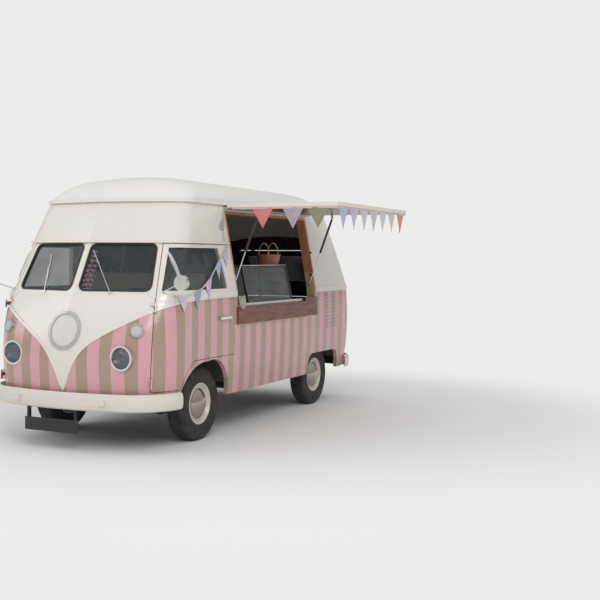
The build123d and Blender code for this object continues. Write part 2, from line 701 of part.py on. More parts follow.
def build_cargo_doors(wall):
    """The two hinged leaves in the right side, with stepped edges where they meet."""
    middle = (CARGO_FRONT_Y + CARGO_REAR_Y) / 2
    edge = CARGO_MEETING_GAP / 2
    core = body_solid(CARGO_LIP)
    rows = {
        "cargo_door_front": (CARGO_FRONT_Y, middle - edge, CARGO_FRONT_Y - SHUT_GAP / 2, 1),
        "cargo_door_rear": (middle + edge, CARGO_REAR_Y, CARGO_REAR_Y + SHUT_GAP / 2, -1),
    }
    for name, (y0, y1, pin_y, toward) in rows.items():
        leaf = wall & side_prism(cargo_outline(y0, y1), -1200, -300)
        meeting = y1 if toward > 0 else y0
        near, far = sorted((meeting - toward * CARGO_STEP, meeting + toward * CARGO_STEP))
        leaf = leaf - (core & side_prism(cargo_outline(near, far, 1), -1200, -300))
        for z in CARGO_HINGE_ZS:
            tube, half = CARGO_TUBE_HALF, CARGO_HINGE_HALF
            pin_low, pin_high = (CARGO_AXIS_X, pin_y, z - half), (CARGO_AXIS_X, pin_y, z + half)
            moving = cargo_strap(pin_y, toward, z - tube, z + tube)
            leaf = leaf + (moving - rod(pin_low, pin_high, CARGO_PIN_RADIUS + RUNNING_FIT))
            fixed = cargo_strap(pin_y, -toward, z + tube + SEAT_GAP, z + half)
            fixed = fixed + cargo_strap(pin_y, -toward, z - half, z - tube - SEAT_GAP)
            fixed = fixed + rod(pin_low, pin_high, CARGO_PIN_RADIUS)
            nodes["right_side_panel"] = nodes["right_side_panel"] + fixed
        nodes[name] = leaf
    x = -BODY_HALF_WIDTH
    y = middle - edge - 40
    handle = block(x - 20, x + 20, y - 14, y + 14, HANDLE_Z - 14, HANDLE_Z + 14)
    handle = handle + block(x - 32, x - 18, y - 90, y + 14, HANDLE_Z - 10, HANDLE_Z + 10)
    nodes["cargo_door_front"] = nodes["cargo_door_front"] + (handle - hull(LOWER_SECTIONS, HINGE_LEAF_SINK))


# Rear hinges. Columns: height of the pin, places along it. Each pin stands off the
# body's rearmost line by REAR_PIN_OUT.
REAR_HINGES = {
    "tailgate": (TAILGATE_TOP_Z + 11, (-330, 330)),
    "engine_lid": (LID_TOP_Z + 8, (-230, 230)),
}
REAR_PIN_OUT = 7
REAR_PIN_RADIUS = 4
REAR_TUBE_RADIUS = 8
REAR_HINGE_HALF = 30
REAR_TUBE_HALF = 17
REAR_WINDOW = (380, 1300, 1580)
REAR_HANDLE_RISE = 30
REAR_HANDLE_HEIGHT = 18
REAR_HANDLE_OUT = 20


def rear_hinge_lugs(z, spots):
    """What the body holds of a rear hinge: end lugs and the pin."""
    y = rear_centre_y(z) + REAR_PIN_OUT
    lugs = []
    for x in spots:
        for side in (-1, 1):
            near, far = sorted((x + side * (REAR_TUBE_HALF + SEAT_GAP), x + side * REAR_HINGE_HALF))
            lugs.append(block(near, far, y - 26, y, z - 1, z + 14) + rod((near, y, z), (far, y, z), REAR_TUBE_RADIUS))
        lugs.append(rod((x - REAR_HINGE_HALF, y, z), (x + REAR_HINGE_HALF, y, z), REAR_PIN_RADIUS))
    return sum(lugs[1:], lugs[0])


def rear_hinge_straps(z, spots):
    """What a rear lid holds of its hinge: a pad on its face and a tube round the pin."""
    y = rear_centre_y(z) + REAR_PIN_OUT
    straps = []
    for x in spots:
        near, far = x - REAR_TUBE_HALF, x + REAR_TUBE_HALF
        pad = block(near, far, y - 22, y + REAR_TUBE_RADIUS, z - 36, z - 12)
        neck = block(near, far, y - REAR_TUBE_RADIUS, y + REAR_TUBE_RADIUS, z - 14, z)
        tube = rod((near, y, z), (far, y, z), REAR_TUBE_RADIUS)
        hole = rod((near - 1, y, z), (far + 1, y, z), REAR_PIN_RADIUS + RUNNING_FIT)
        straps.append(pad + neck + tube - hole)
    return straps[0] + straps[1]


def rear_handle(z, half):
    """A plain bar handle across a rear lid."""
    y = rear_centre_y(z)
    return block(-half, half, y - REAR_HANDLE_OUT, y + REAR_HANDLE_OUT, z, z + REAR_HANDLE_HEIGHT)


def build_rear_lids(wall):
    """The tailgate with its window, and the engine lid below it."""
    gate = wall & front_prism(rear_outline(TAILGATE_HALF_WIDTH, TAILGATE_BOTTOM_Z, TAILGATE_TOP_Z), 3600, 4400)
    window = front_prism(rear_outline(*REAR_WINDOW), 3600, 4400)
    gate = gate - window + rear_handle(TAILGATE_BOTTOM_Z + REAR_HANDLE_RISE, 60)
    nodes["tailgate"] = gate + rear_hinge_straps(*REAR_HINGES["tailgate"])
    nodes["tailgate_glass"] = skin(14, 19) & front_prism(rear_outline(*REAR_WINDOW, -SEAT_GAP), 3600, 4400)
    lid = wall & front_prism(rear_outline(LID_HALF_WIDTH, LID_BOTTOM_Z, LID_TOP_Z), 3600, 4400)
    lid = lid + rear_handle(LID_BOTTOM_Z + REAR_HANDLE_RISE + 10, 22)
    nodes["engine_lid"] = lid + rear_hinge_straps(*REAR_HINGES["engine_lid"])
    for hinge in REAR_HINGES.values():
        nodes["rear_panel"] = nodes["rear_panel"] + rear_hinge_lugs(*hinge)


# Bumper blades. Columns of a base row: half width, front, front headings, front
# radius, rear, rear radius. Columns of the section: height, how far the blade
# stands out from its base row.
FRONT_BUMPER_ROW = (812, 100, 0, 13, 340, 4120, 200)
REAR_BUMPER_ROW = (806, 100, 0, 13, 340, 4195, 170)
BUMPER_SECTION = ((345, 66), (358, 82), (390, 88), (440, 88), (472, 82), (485, 66))
BUMPER_SHEET = 5
FRONT_BUMPER_END_Y = 470
REAR_BUMPER_END_Y = 3930
PLATE_LEFT_X = 182
PLATE_RIGHT_X = -350
PLATE_Y = 40
PLATE_THICK = 4
STEM_XS = (-320, 152)
STEM_HALF = 10
STEM_THICK = 28
STEM_TOP_Z = 380
PLATE_BOTTOM_Z = 155
PLATE_TOP_Z = 262


def bumper_core(row, clearance=SEAT_GAP):
    """The space inside a rolled blade, moved in from its sheet by a clearance."""
    return loft([plan_outline((z, *row), -out + BUMPER_SHEET + clearance) for z, out in BUMPER_SECTION], ruled=True)


def bumper_shell(row):
    """The rolled blade all round a base row, open towards the body."""
    outer = loft([plan_outline((z, *row), -out) for z, out in BUMPER_SECTION], ruled=True)
    return outer - bumper_core(row, 0)


def build_bumpers():
    """Front and rear blades with their brackets, and the blank front plate."""
    body = hull(LOWER_SECTIONS, -SEAT_GAP)
    front = bumper_shell(FRONT_BUMPER_ROW) & block(-1200, 1200, -100, FRONT_BUMPER_END_Y, 300, 600)
    arm = block(400, 440, 24, 130, 395, 435) - body
    nodes["front_bumper"] = front + arm + mirrored(arm)
    rear = bumper_shell(REAR_BUMPER_ROW) & block(-1200, 1200, REAR_BUMPER_END_Y, 4400, 300, 600)
    arm = block(400, 440, 4080, 4276, 395, 435) - body
    nodes["rear_bumper"] = rear + arm + mirrored(arm)
    plate = block(PLATE_RIGHT_X, PLATE_LEFT_X, PLATE_Y, PLATE_Y + PLATE_THICK, PLATE_BOTTOM_Z, PLATE_TOP_Z)
    lowest_z = BUMPER_SECTION[0][0]
    stem_y = PLATE_Y + PLATE_THICK
    core = bumper_core(FRONT_BUMPER_ROW)
    for x in STEM_XS:
        stem = block(x - STEM_HALF, x + STEM_HALF, stem_y - 1, stem_y + STEM_THICK, PLATE_TOP_Z - 60, lowest_z)
        foot = block(x - STEM_HALF, x + STEM_HALF, -20, stem_y + STEM_THICK, lowest_z - 1, STEM_TOP_Z)
        plate = plate + stem + (foot & core)
    nodes["front_plate"] = plate


def build_wheels():
    """Four tyres, rims and hubcaps on two stub axles each."""
    half = TYRE_WIDTH / 2
    tyre = make_face(
        Wire(
            [
                Line((-half + 18, BEAD_RADIUS + SEAT_GAP), (half - 18, BEAD_RADIUS + SEAT_GAP)),
                ThreePointArc((half - 18, BEAD_RADIUS + SEAT_GAP), (half, 245), (half - 14, TYRE_RADIUS - 14)),
                ThreePointArc((half - 14, TYRE_RADIUS - 14), (half - 22, TYRE_RADIUS - 5), (half - 34, TYRE_RADIUS - 2)),
                ThreePointArc((half - 34, TYRE_RADIUS - 2), (0, TYRE_RADIUS), (-half + 34, TYRE_RADIUS - 2)),
                ThreePointArc((-half + 34, TYRE_RADIUS - 2), (-half + 22, TYRE_RADIUS - 5), (-half + 14, TYRE_RADIUS - 14)),
                ThreePointArc((-half + 14, TYRE_RADIUS - 14), (-half, 245), (-half + 18, BEAD_RADIUS + SEAT_GAP)),
            ]
        ).edges()
    )
    bore = STUB_RADIUS + RUNNING_FIT
    outline = [
        (CAP_BACK, 0),
        (CAP_BACK, bore),
        (-20, bore),
        (-20, 60),
        (32, 62),
        (34, 100),
        (24, 140),
        (-RIM_WIDTH / 2, BEAD_RADIUS - 10),
        (-RIM_WIDTH / 2, BEAD_RADIUS),
        (RIM_WIDTH / 2 - 1, BEAD_RADIUS),
        (RIM_WIDTH / 2 - 1, BEAD_RADIUS - 8),
        (38, 150),
        (36, 138),
    ]
    centre_x = CAP_FACE - CAP_SPHERE
    edge, middle = CAP_EDGE_DEG, CAP_EDGE_DEG / 2
    rim_x, rim_r = centre_x + CAP_SPHERE * math.cos(math.radians(edge)), CAP_SPHERE * math.sin(math.radians(edge))
    mid_x, mid_r = centre_x + CAP_SPHERE * math.cos(math.radians(middle)), CAP_SPHERE * math.sin(math.radians(middle))
    outline.append((rim_x, rim_r))
    dome = [ThreePointArc((rim_x, rim_r), (mid_x, mid_r), (CAP_FACE, 0)), Line((CAP_FACE, 0), (CAP_BACK, 0))]
    rim = make_face(Wire(Polyline(*outline).edges() + dome).edges())
    spots = {
        "front_left": (1, FRONT_AXLE_Y),
        "front_right": (-1, FRONT_AXLE_Y),
        "rear_left": (1, REAR_AXLE_Y),
        "rear_right": (-1, REAR_AXLE_Y),
    }
    for spot, (side, y) in spots.items():
        place = Pos(TRACK_HALF, y, TYRE_RADIUS)
        pieces = {
            "tyre_": revolve(tyre, Axis.X),
            "rim_": revolve(rim, Axis.X),
        }
        for name, piece in pieces.items():
            piece = place * piece
            nodes[name + spot] = piece if side > 0 else mirrored(piece)


def build_axles():
    """Front beam with kingpins, steering knuckles and the rear axle with its gearbox."""
    z = TYRE_RADIUS
    y = FRONT_AXLE_Y
    beam = rod((-430, y - 170, z + 20), (430, y - 170, z + 20), 30)
    beam = beam + rod((-430, y - 170, z - 55), (430, y - 170, z - 55), 30)
    mount = block(RAIL_INNER_X, RAIL_OUTER_X, y - 210, y - 130, z - 70, RAIL_BOTTOM_Z - SEAT_GAP)
    beam = beam + mount + mirrored(mount)
    end = block(418, 445, y - 205, y - 135, z - 70, z + 90)
    end = end + block(418, 445, y - 140, y + 20, z + 70, z + 95) + block(418, 445, y - 140, y + 20, z - 95, z - 70)
    end = end + block(440, KINGPIN_X + 22, y - 20, y + 20, z + 70, z + 95)
    end = end + block(440, KINGPIN_X + 22, y - 20, y + 20, z - 95, z - 70)
    end = end + rod((KINGPIN_X, y, z - 80), (KINGPIN_X, y, z + 80), KINGPIN_RADIUS)
    beam = beam + end + mirrored(end)
    nodes["front_axle_beam"] = beam
    tube = rod((KINGPIN_X, y, z - 69), (KINGPIN_X, y, z + 69), 30)
    stub = rod((KINGPIN_X, y, z), (TRACK_HALF + 38, y, z), STUB_RADIUS)
    plate = rod((KINGPIN_X + 34, y, z), (KINGPIN_X + 42, y, z), 130)
    neck = rod((KINGPIN_X, y, z), (KINGPIN_X + 40, y, z), 40)
    knuckle = (tube + stub + plate + neck) - rod(
        (KINGPIN_X, y, z - 90), (KINGPIN_X, y, z + 90), KINGPIN_RADIUS + RUNNING_FIT
    )
    nodes["knuckle_left"] = knuckle
    nodes["knuckle_right"] = mirrored(knuckle)
    y = REAR_AXLE_Y
    arm = rod((0, y, z + 60), (KINGPIN_X + 20, y, z + 60), 38)
    arm = arm + block(KINGPIN_X, KINGPIN_X + 42, y - 75, y + 75, z - 65, z + 140)
    arm = arm + rod((KINGPIN_X, y, z), (TRACK_HALF + 38, y, z), STUB_RADIUS)
    gearbox = rod((0, 2975, z + 60), (0, y + 330, z + 60), 115)
    gearbox = gearbox + rod((0, REAR_MEMBER_Y + MEMBER_HALF + SEAT_GAP, z + 80), (0, 2990, z + 80), 45)
    nodes["rear_axle"] = arm + mirrored(arm) + gearbox
    nodes["engine_block"] = block(-330, 330, y + 330, 4060, z - 40, z + 380)


def build_chassis():
    """Ladder frame and floors with their wheel houses."""
    inside = hull(LOWER_SECTIONS, WALL)
    rail = block(RAIL_INNER_X, RAIL_OUTER_X, RAIL_FRONT_Y, 2990, RAIL_BOTTOM_Z, FLOOR_Z - 40)
    rails = rail + mirrored(rail)
    for y in (380, 1480, 2150, REAR_MEMBER_Y):
        rails = rails + block(-820, 820, y - MEMBER_HALF, y + MEMBER_HALF, SILL_Z + 25, FLOOR_Z - 40)
    nodes["chassis_frame"] = rails & inside
    inside = hull(LOWER_SECTIONS, WALL + SHUT_GAP)
    floor = block(-900, 900, PILLAR_Y, 2960, FLOOR_Z - 40, FLOOR_Z)
    step = block(-900, 900, 2940, 2960, FLOOR_Z - 20, ENGINE_DECK_Z)
    deck = block(-900, 900, 2940, 4300, ENGINE_DECK_Z - 20, ENGINE_DECK_Z)
    guard = block(425, 445, 2950, 3830, FLOOR_Z - 20, ENGINE_DECK_Z - 10)
    closing = block(435, 900, 3810, 3830, FLOOR_Z - 20, ENGINE_DECK_Z - 10)
    guards = guard + closing
    nodes["load_floor"] = (floor + step + deck + guards + mirrored(guards)) & inside
    cab = block(-900, 900, 320, PILLAR_Y - 1, CAB_FLOOR_Z, CAB_FLOOR_Z + 20)
    cab = cab + block(-900, 900, 320, RAIL_FRONT_Y - SEAT_GAP, SILL_Z + 10, CAB_FLOOR_Z + 10)
    cab = cab + block(-900, 900, PILLAR_Y - 25, PILLAR_Y - 1, FLOOR_Z, CAB_FLOOR_Z + 10)
    cab = (cab & inside) + block(-640, 640, 860, 1290, CAB_FLOOR_Z + 10, SEAT_BASE_Z)
    foot, hub, direction = steering_points()
    nodes["cab_floor"] = cab - rod(foot - direction * 200, foot + direction * 200, COLUMN_RADIUS + SEAT_GAP)


COLUMN_RADIUS = 24
STEERING_TILT_DEG = 35
SEAT_BASE_Z = 900
STEERING_FOOT = (360, 430, 730)
COLUMN_RUN = 560
DASH_HALF = 655


def steering_points():
    """Foot and hub of the steering column and its direction."""
    tilt = math.radians(STEERING_TILT_DEG)
    direction = Vector(0, math.sin(tilt), math.cos(tilt))
    foot = Vector(*STEERING_FOOT)
    return foot, foot + direction * COLUMN_RUN, direction


def build_cab_interior():
    """Dashboard, seat, steering wheel and column."""
    inside = hull(LOWER_SECTIONS, WALL)
    dash = block(-DASH_HALF, DASH_HALF, 200, 380, 1090, 1215) & inside
    nodes["dashboard"] = dash
    foot, hub, direction = steering_points()
    nodes["steering_column"] = rod(foot - direction * 20, hub - direction * (12 + SEAT_GAP), COLUMN_RADIUS)
    plane = Plane(origin=hub, z_dir=direction)
    wheel = plane * Torus(195, 12) + plane * Cylinder(35, 24)
    for turn in (90, 210, 330):
        spoke = Pos(0, 0, 0) * Rot(0, 0, turn) * (Pos(105, 0, 0) * Box(170, 18, 8))
        wheel = wheel + plane * spoke
    nodes["steering_wheel"] = wheel
    cushion = block(-640, 640, 850, 1300, SEAT_BASE_Z + SEAT_GAP, SEAT_BASE_Z + 100)
    back = block(-640, 640, 1200, 1310, SEAT_BASE_Z + 100 + SEAT_GAP, 1440)
    nodes["seat"] = Compound([*cushion.solids(), *back.solids()])
    return hub, direction


def build_serving_side():
    """Hatch frame, boards, counter, cabinet, shelves and the lifting flap."""
    solid = body_solid()
    frame = side_prism(hatch_outline(SEAT_GAP), 640, 1000) - side_prism(hatch_outline(JAMB_DEPTH), 600, 1100)
    frame = (frame & body_solid(-2)) - body_solid(JAMB_WIDTH)
    eye_x, eye_z = STRUT_BODY_EYE
    for y, wall_y in zip(STRUT_YS, (HATCH_FRONT_Y + JAMB_DEPTH, HATCH_REAR_Y - JAMB_DEPTH)):
        inner_y = y + math.copysign(EYE_WIDTH / 2 + 2, y - wall_y)
        frame = frame + rod((eye_x, wall_y, eye_z), (eye_x, inner_y, eye_z), EYE_PIN_RADIUS)
    nodes["hatch_frame"] = frame
    rail = block(700, 746, FLAP_FRONT_Y, FLAP_REAR_Y, FLAP_HINGE_Z - 12, FLAP_HINGE_Z + 12) - solid
    axis_at = (FLAP_HINGE_X, FLAP_FRONT_Y, FLAP_HINGE_Z)
    axis_end = (FLAP_HINGE_X, FLAP_REAR_Y, FLAP_HINGE_Z)
    rail = rail + rod(axis_at, axis_end, HINGE_PIN_RADIUS)
    for y in (FLAP_FRONT_Y, FLAP_REAR_Y - HINGE_LUG):
        rail = rail + block(740, FLAP_HINGE_X, y, y + HINGE_LUG, FLAP_HINGE_Z - 8, FLAP_HINGE_Z + 8)
    nodes["flap_hinge"] = rail
    inner_x, outer_x = BODY_HALF_WIDTH - 16, BODY_HALF_WIDTH + BOARD_THICK
    front_y = HATCH_FRONT_Y - 5
    board = block(inner_x, outer_x, front_y, BOARD_REAR_Y, BOARD_BOTTOM_Z, BOARD_TOP_Z)
    board = board + block(inner_x, outer_x + EDGING_PROUD, front_y, BOARD_REAR_Y, BOARD_TOP_Z - EDGING_HEIGHT, BOARD_TOP_Z)
    end_board = block(
        inner_x, BODY_HALF_WIDTH + END_BOARD_THICK, BOARD_REAR_Y + SEAT_GAP, HATCH_REAR_Y + 20, BOARD_BOTTOM_Z, END_BOARD_TOP_Z
    )
    boards = [*(board - solid - frame).solids(), *(end_board - solid - frame).solids()]
    nodes["fascia_board"] = Compound(boards)
    under_z = COUNTER_TOP_Z - COUNTER_THICK
    slab = block(COUNTER_BACK_X, COUNTER_FRONT_X, HATCH_FRONT_Y + 40, HATCH_REAR_Y - 40, under_z, COUNTER_TOP_Z)
    rail = block(
        COUNTER_FRONT_X, COUNTER_FRONT_X + COUNTER_RAIL_THICK, COUNTER_RAIL_FRONT_Y, COUNTER_RAIL_REAR_Y, under_z, COUNTER_TOP_Z + COUNTER_RAIL_UP
    )
    base = block(COUNTER_BACK_X + 20, COUNTER_FRONT_X - 74, HATCH_FRONT_Y + 60, COUNTER_RAIL_REAR_Y, FLOOR_Z, COUNTER_TOP_Z - 10)
    nodes["counter"] = slab + rail + base
    low, high, wall = COUNTER_TOP_Z + SEAT_GAP, CASE_TOP_Z, CASE_WALL
    case = front_prism(
        [(CASE_BACK_X, low), (CASE_LOW_X, low), (CASE_HIGH_X, high), (CASE_BACK_X, high)], CASE_FRONT_Y, CASE_REAR_Y
    )
    room = front_prism(
        [(CASE_BACK_X - 10, low + wall), (CASE_LOW_X - 1.2 * wall, low + wall), (CASE_HIGH_X - wall, high - wall), (CASE_BACK_X - 10, high - wall)],
        CASE_FRONT_Y + wall,
        CASE_REAR_Y - wall,
    )
    nodes["display_case"] = case - room
    shelves = block(-800, -560, 2720, 3700, 1200, 1220)
    for z in (1450, 1700):
        shelves = shelves + block(-800, -560, 2720, 3700, z, z + 20)
    shelves = shelves + block(-800, -560, 2700, 2720, 980, 1740) + block(-800, -560, 3700, 3720, 980, 1740)
    nodes["wall_shelves"] = shelves & (hull(LOWER_SECTIONS, WALL) + hull(UPPER_SECTIONS, WALL))
    x, y = BASKET_AT
    foot_z = CASE_TOP_Z + SEAT_GAP
    align = (Align.CENTER, Align.CENTER, Align.MIN)
    basket = Pos(x, y, foot_z) * Cone(BASKET_FOOT_RADIUS, BASKET_RIM_RADIUS, BASKET_HEIGHT, align=align)
    basket = basket - Pos(x, y, foot_z + BASKET_WALL) * Cone(
        BASKET_FOOT_RADIUS - BASKET_WALL, BASKET_RIM_RADIUS - BASKET_WALL, BASKET_HEIGHT, align=align
    )
    rim_z = foot_z + BASKET_HEIGHT
    reach = math.sqrt((BASKET_RIM_RADIUS - BASKET_WALL / 2) ** 2 - HANDLE_OFFSET**2)
    ring = Rot(0, 90, 0) * Torus(reach, HANDLE_BAR_RADIUS)
    for offset_x in (-HANDLE_OFFSET, HANDLE_OFFSET):
        basket = basket + ((Pos(x + offset_x, y, rim_z - 2) * ring) & block(x - 200, x + 200, y - 200, y + 200, rim_z - 6, rim_z + 200))
    nodes["basket"] = basket
    low, high = FLAP_HINGE_Z + 2, FLAP_HINGE_Z + 2 + FLAP_THICK
    flap = block(FLAP_HINGE_X + 8, FLAP_HINGE_X + FLAP_REACH, FLAP_FRONT_Y, FLAP_REAR_Y, low, high)
    tube_front, tube_rear = FLAP_FRONT_Y + HINGE_LUG + SEAT_GAP, FLAP_REAR_Y - HINGE_LUG - SEAT_GAP
    flap = flap + block(FLAP_HINGE_X, FLAP_HINGE_X + 20, tube_front, tube_rear, low, high)
    tube = rod((FLAP_HINGE_X, tube_front, FLAP_HINGE_Z), (FLAP_HINGE_X, tube_rear, FLAP_HINGE_Z), HINGE_TUBE_RADIUS)
    flap = flap + tube - rod(axis_at, axis_end, HINGE_PIN_RADIUS + RUNNING_FIT)
    eye_x, eye_z = FLAP_HINGE_X + STRUT_FLAP_REACH, FLAP_HINGE_Z - STRUT_FLAP_DROP
    for y, side in zip(STRUT_YS, (1, -1)):
        plate_y = y + side * (EYE_WIDTH / 2 + 2)
        plate = Pos(eye_x, plate_y + side * 2.5, (eye_z + low) / 2) * Box(24, 5, low - eye_z + 16)
        pin = rod((eye_x, y - side * (EYE_WIDTH / 2 + 2), eye_z), (eye_x, plate_y, eye_z), EYE_PIN_RADIUS)
        flap = flap + plate + pin
    nodes["serving_flap"] = flap


# Gas struts of the flap. The eye on the body and the eye on the flap.
STRUT_BODY_EYE = (812, 1290)
STRUT_FLAP_REACH = 300
STRUT_FLAP_DROP = 30
JAMB_DEPTH = 24
JAMB_WIDTH = 95
STRUT_YS = (HATCH_FRONT_Y + JAMB_DEPTH + 18, HATCH_REAR_Y - JAMB_DEPTH - 18)
EYE_RADIUS = 9
EYE_WIDTH = 12
EYE_PIN_RADIUS = 4
ROD_EYE_CLEARANCE = 0.3
CYLINDER_START = 18
CYLINDER_LENGTH = 385
CYLINDER_RADIUS = 11
BORE_START = 22
STRUT_ROD_RADIUS = 5
ROD_IN_CYLINDER = 28


def strut_points():
    """Eyes of a strut with the flap open, and how it moves as the flap closes."""
    body = Vector(STRUT_BODY_EYE[0], 0, STRUT_BODY_EYE[1])
    hinge = Vector(FLAP_HINGE_X, 0, FLAP_HINGE_Z)
    arm = Vector(STRUT_FLAP_REACH, 0, -STRUT_FLAP_DROP)
    opened = hinge + arm
    closed = hinge + arm.rotate(Axis.Y, FLAP_CLOSING_DEG)
    run_open, run_closed = body - opened, body - closed
    angle_open = math.degrees(math.atan2(run_open.X, -run_open.Z))
    angle_closed = math.degrees(math.atan2(run_closed.X, -run_closed.Z))
    return body, opened, run_open.length, run_closed.length, angle_open, angle_closed


def build_struts():
    """Two gas struts, each a cylinder pinned to the flap and a rod pinned to the jamb."""
    body, top, long_run, short_run, angle_open, angle_closed = strut_points()
    direction = (body - top).normalized()
    cylinders, rods = [], []
    for y in STRUT_YS:
        at_top, at_body = Vector(top.X, y, top.Z), Vector(body.X, y, body.Z)
        half_width = Vector(0, EYE_WIDTH / 2, 0)
        end = at_top + direction * CYLINDER_LENGTH
        tube = rod(at_top + direction * CYLINDER_START, end, CYLINDER_RADIUS)
        tube = tube - rod(at_top + direction * BORE_START, end + direction, STRUT_ROD_RADIUS + RUNNING_FIT)
        eye = rod(at_top - half_width, at_top + half_width, EYE_RADIUS) + rod(at_top, at_top + direction * 20, EYE_WIDTH / 2 - 1.5)
        pin_hole = rod(at_top - half_width * 2, at_top + half_width * 2, EYE_PIN_RADIUS + RUNNING_FIT)
        cylinders.append(tube + eye - pin_hole)
        bar = rod(end - direction * ROD_IN_CYLINDER, at_body, STRUT_ROD_RADIUS)
        eye = rod(at_body - half_width, at_body + half_width, EYE_RADIUS)
        pin_hole = rod(at_body - half_width * 2, at_body + half_width * 2, EYE_PIN_RADIUS + ROD_EYE_CLEARANCE)
        rods.append(bar + eye - pin_hole)
    nodes["strut_cylinders"] = cylinders[0] + cylinders[1]
    nodes["strut_rods"] = rods[0] + rods[1]
    print("strut runs", round(long_run, 2), round(short_run, 2), "angles", round(angle_open, 3), round(angle_closed, 3))


# Strings of pennants on cloth tapes. Columns of a path: y, z. Columns of a
# pennant: y and z of its two upper corners and of its tip.
TAPE_HEIGHT = 16
CLOTH_THICK = 3
CLOTH_OUT = BELT_OUT + SEAT_GAP
DOOR_TAPE = ((1366, 1680), (1170, 1552), (980, 1402), (800, 1312), (620, 1270), (430, 1262))
DOOR_PENNANTS = (
    ((1362, 1674), (1250, 1600), (1285, 1490)),
    ((1215, 1577), (1090, 1485), (1120, 1375)),
    ((1010, 1422), (870, 1343), (905, 1215)),
    ((800, 1308), (660, 1275), (715, 1145)),
    ((590, 1265), (450, 1259), (510, 1120)),
)
PILLAR_TAPE = ((1398, 1985), (1362, 1870), (1334, 1770), (1326, 1712))
PILLAR_PENNANTS = (((1384, 1940), (1347, 1815), (1262, 1822)),)
FLAP_FRONT_PENNANTS = (1028, 1321, 1559)
FLAP_OUTER_COUNT = 7
PENNANT_WIDTH = 205
PENNANT_DROP = 190


def hung_string(path, pennants):
    """A tape with pennants, lying along the left side just outside the belt strip."""
    pieces = []
    for (y0, z0), (y1, z1) in zip(path, path[1:]):
        lean = math.copysign(TAPE_HEIGHT, y0 - y1)
        steep = abs(z1 - z0) > abs(y1 - y0)
        dy, dz = (-lean, 0) if steep else (0, -TAPE_HEIGHT)
        pieces.append(side_prism([(y0, z0), (y1, z1), (y1 + dy, z1 + dz), (y0 + dy, z0 + dz)], 300, 1200))
    pieces += [side_prism(corners, 300, 1200) for corners in pennants]
    outer = body_solid(-CLOTH_OUT - CLOTH_THICK)
    cloth = ((pieces[0] + pieces[1:]) & outer) - body_solid(-CLOTH_OUT)
    y, z = path[0]
    hook = (block(300, 1200, y - 14, y - 2, z - 14, z - 4) & outer) - hull(UPPER_SECTIONS, -SEAT_GAP)
    return cloth + hook


def build_bunting():
    """Pennants along the flap's front and outer edges, on the pillar and on the left door."""
    z = FLAP_HINGE_Z + 2 - SEAT_GAP
    y = FLAP_FRONT_Y + CLOTH_THICK
    x0, x1 = FLAP_HINGE_X + 60, FLAP_HINGE_X + FLAP_REACH - 6
    tape = block(x0, x1, y, y + CLOTH_THICK, z - TAPE_HEIGHT, z)
    for start in FLAP_FRONT_PENNANTS:
        corners = [(start, z - 10), (start + PENNANT_WIDTH, z - 10), (start + PENNANT_WIDTH / 2, z - PENNANT_DROP)]
        tape = tape + front_prism(corners, y, y + CLOTH_THICK)
    x = FLAP_HINGE_X + FLAP_REACH - 4
    strip = block(x - CLOTH_THICK, x, y + 10, FLAP_REAR_Y - 10, z - TAPE_HEIGHT, z)
    pitch = (FLAP_REAR_Y - FLAP_FRONT_Y - 40) / FLAP_OUTER_COUNT
    for index in range(FLAP_OUTER_COUNT):
        start = FLAP_FRONT_Y + 40 + index * pitch
        corners = [(start, z - 10), (start + PENNANT_WIDTH, z - 10), (start + PENNANT_WIDTH / 2, z - PENNANT_DROP - 10)]
        strip = strip + side_prism(corners, x - CLOTH_THICK, x)
    nodes["bunting"] = Compound([*tape.solids(), *strip.solids()])
    nodes["door_bunting"] = hung_string(DOOR_TAPE, DOOR_PENNANTS)
    nodes["pillar_bunting"] = hung_string(PILLAR_TAPE, PILLAR_PENNANTS)


def main():
    """Build every piece, move the whole to its frame and write the files."""
    wall = build_body()
    build_lamps()
    build_glass_and_trim()
    build_cab_doors(wall)
    build_cargo_doors(wall)
    build_rear_lids(wall)
    build_bumpers()
    build_wheels()
    build_axles()
    build_chassis()
    hub, direction = build_cab_interior()
    build_serving_side()
    build_struts()
    build_bunting()
    box = Compound(children=[Compound(piece.solids()) for piece in nodes.values()]).bounding_box()
    shift = Pos(-(box.min.X + box.max.X) / 2, -(box.min.Y + box.max.Y) / 2, 0)
    os.makedirs("parts", exist_ok=True)
    for name, piece in nodes.items():
        solids = [shift * solid for solid in piece.solids()]
        export_step(solids[0] if len(solids) == 1 else Compound(solids), f"parts/{name}.step")
    print("shift", shift.position, "low", box.min, "high", box.max)
    print("steering hub", hub, direction)


main()
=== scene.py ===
"""The looks of a high-roof panel van fitted out for selling ice cream.

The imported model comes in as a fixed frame. This script dresses each of its
nodes, adds the cloth, wicker, wire and trim that solids can't show, and sets up
a plain studio with the camera where the photographer stood.
"""

import bpy
import logging
import math
from dataclasses import dataclass
from enum import Enum, IntEnum

from mathutils import Matrix, Vector
from mathutils.bvhtree import BVHTree


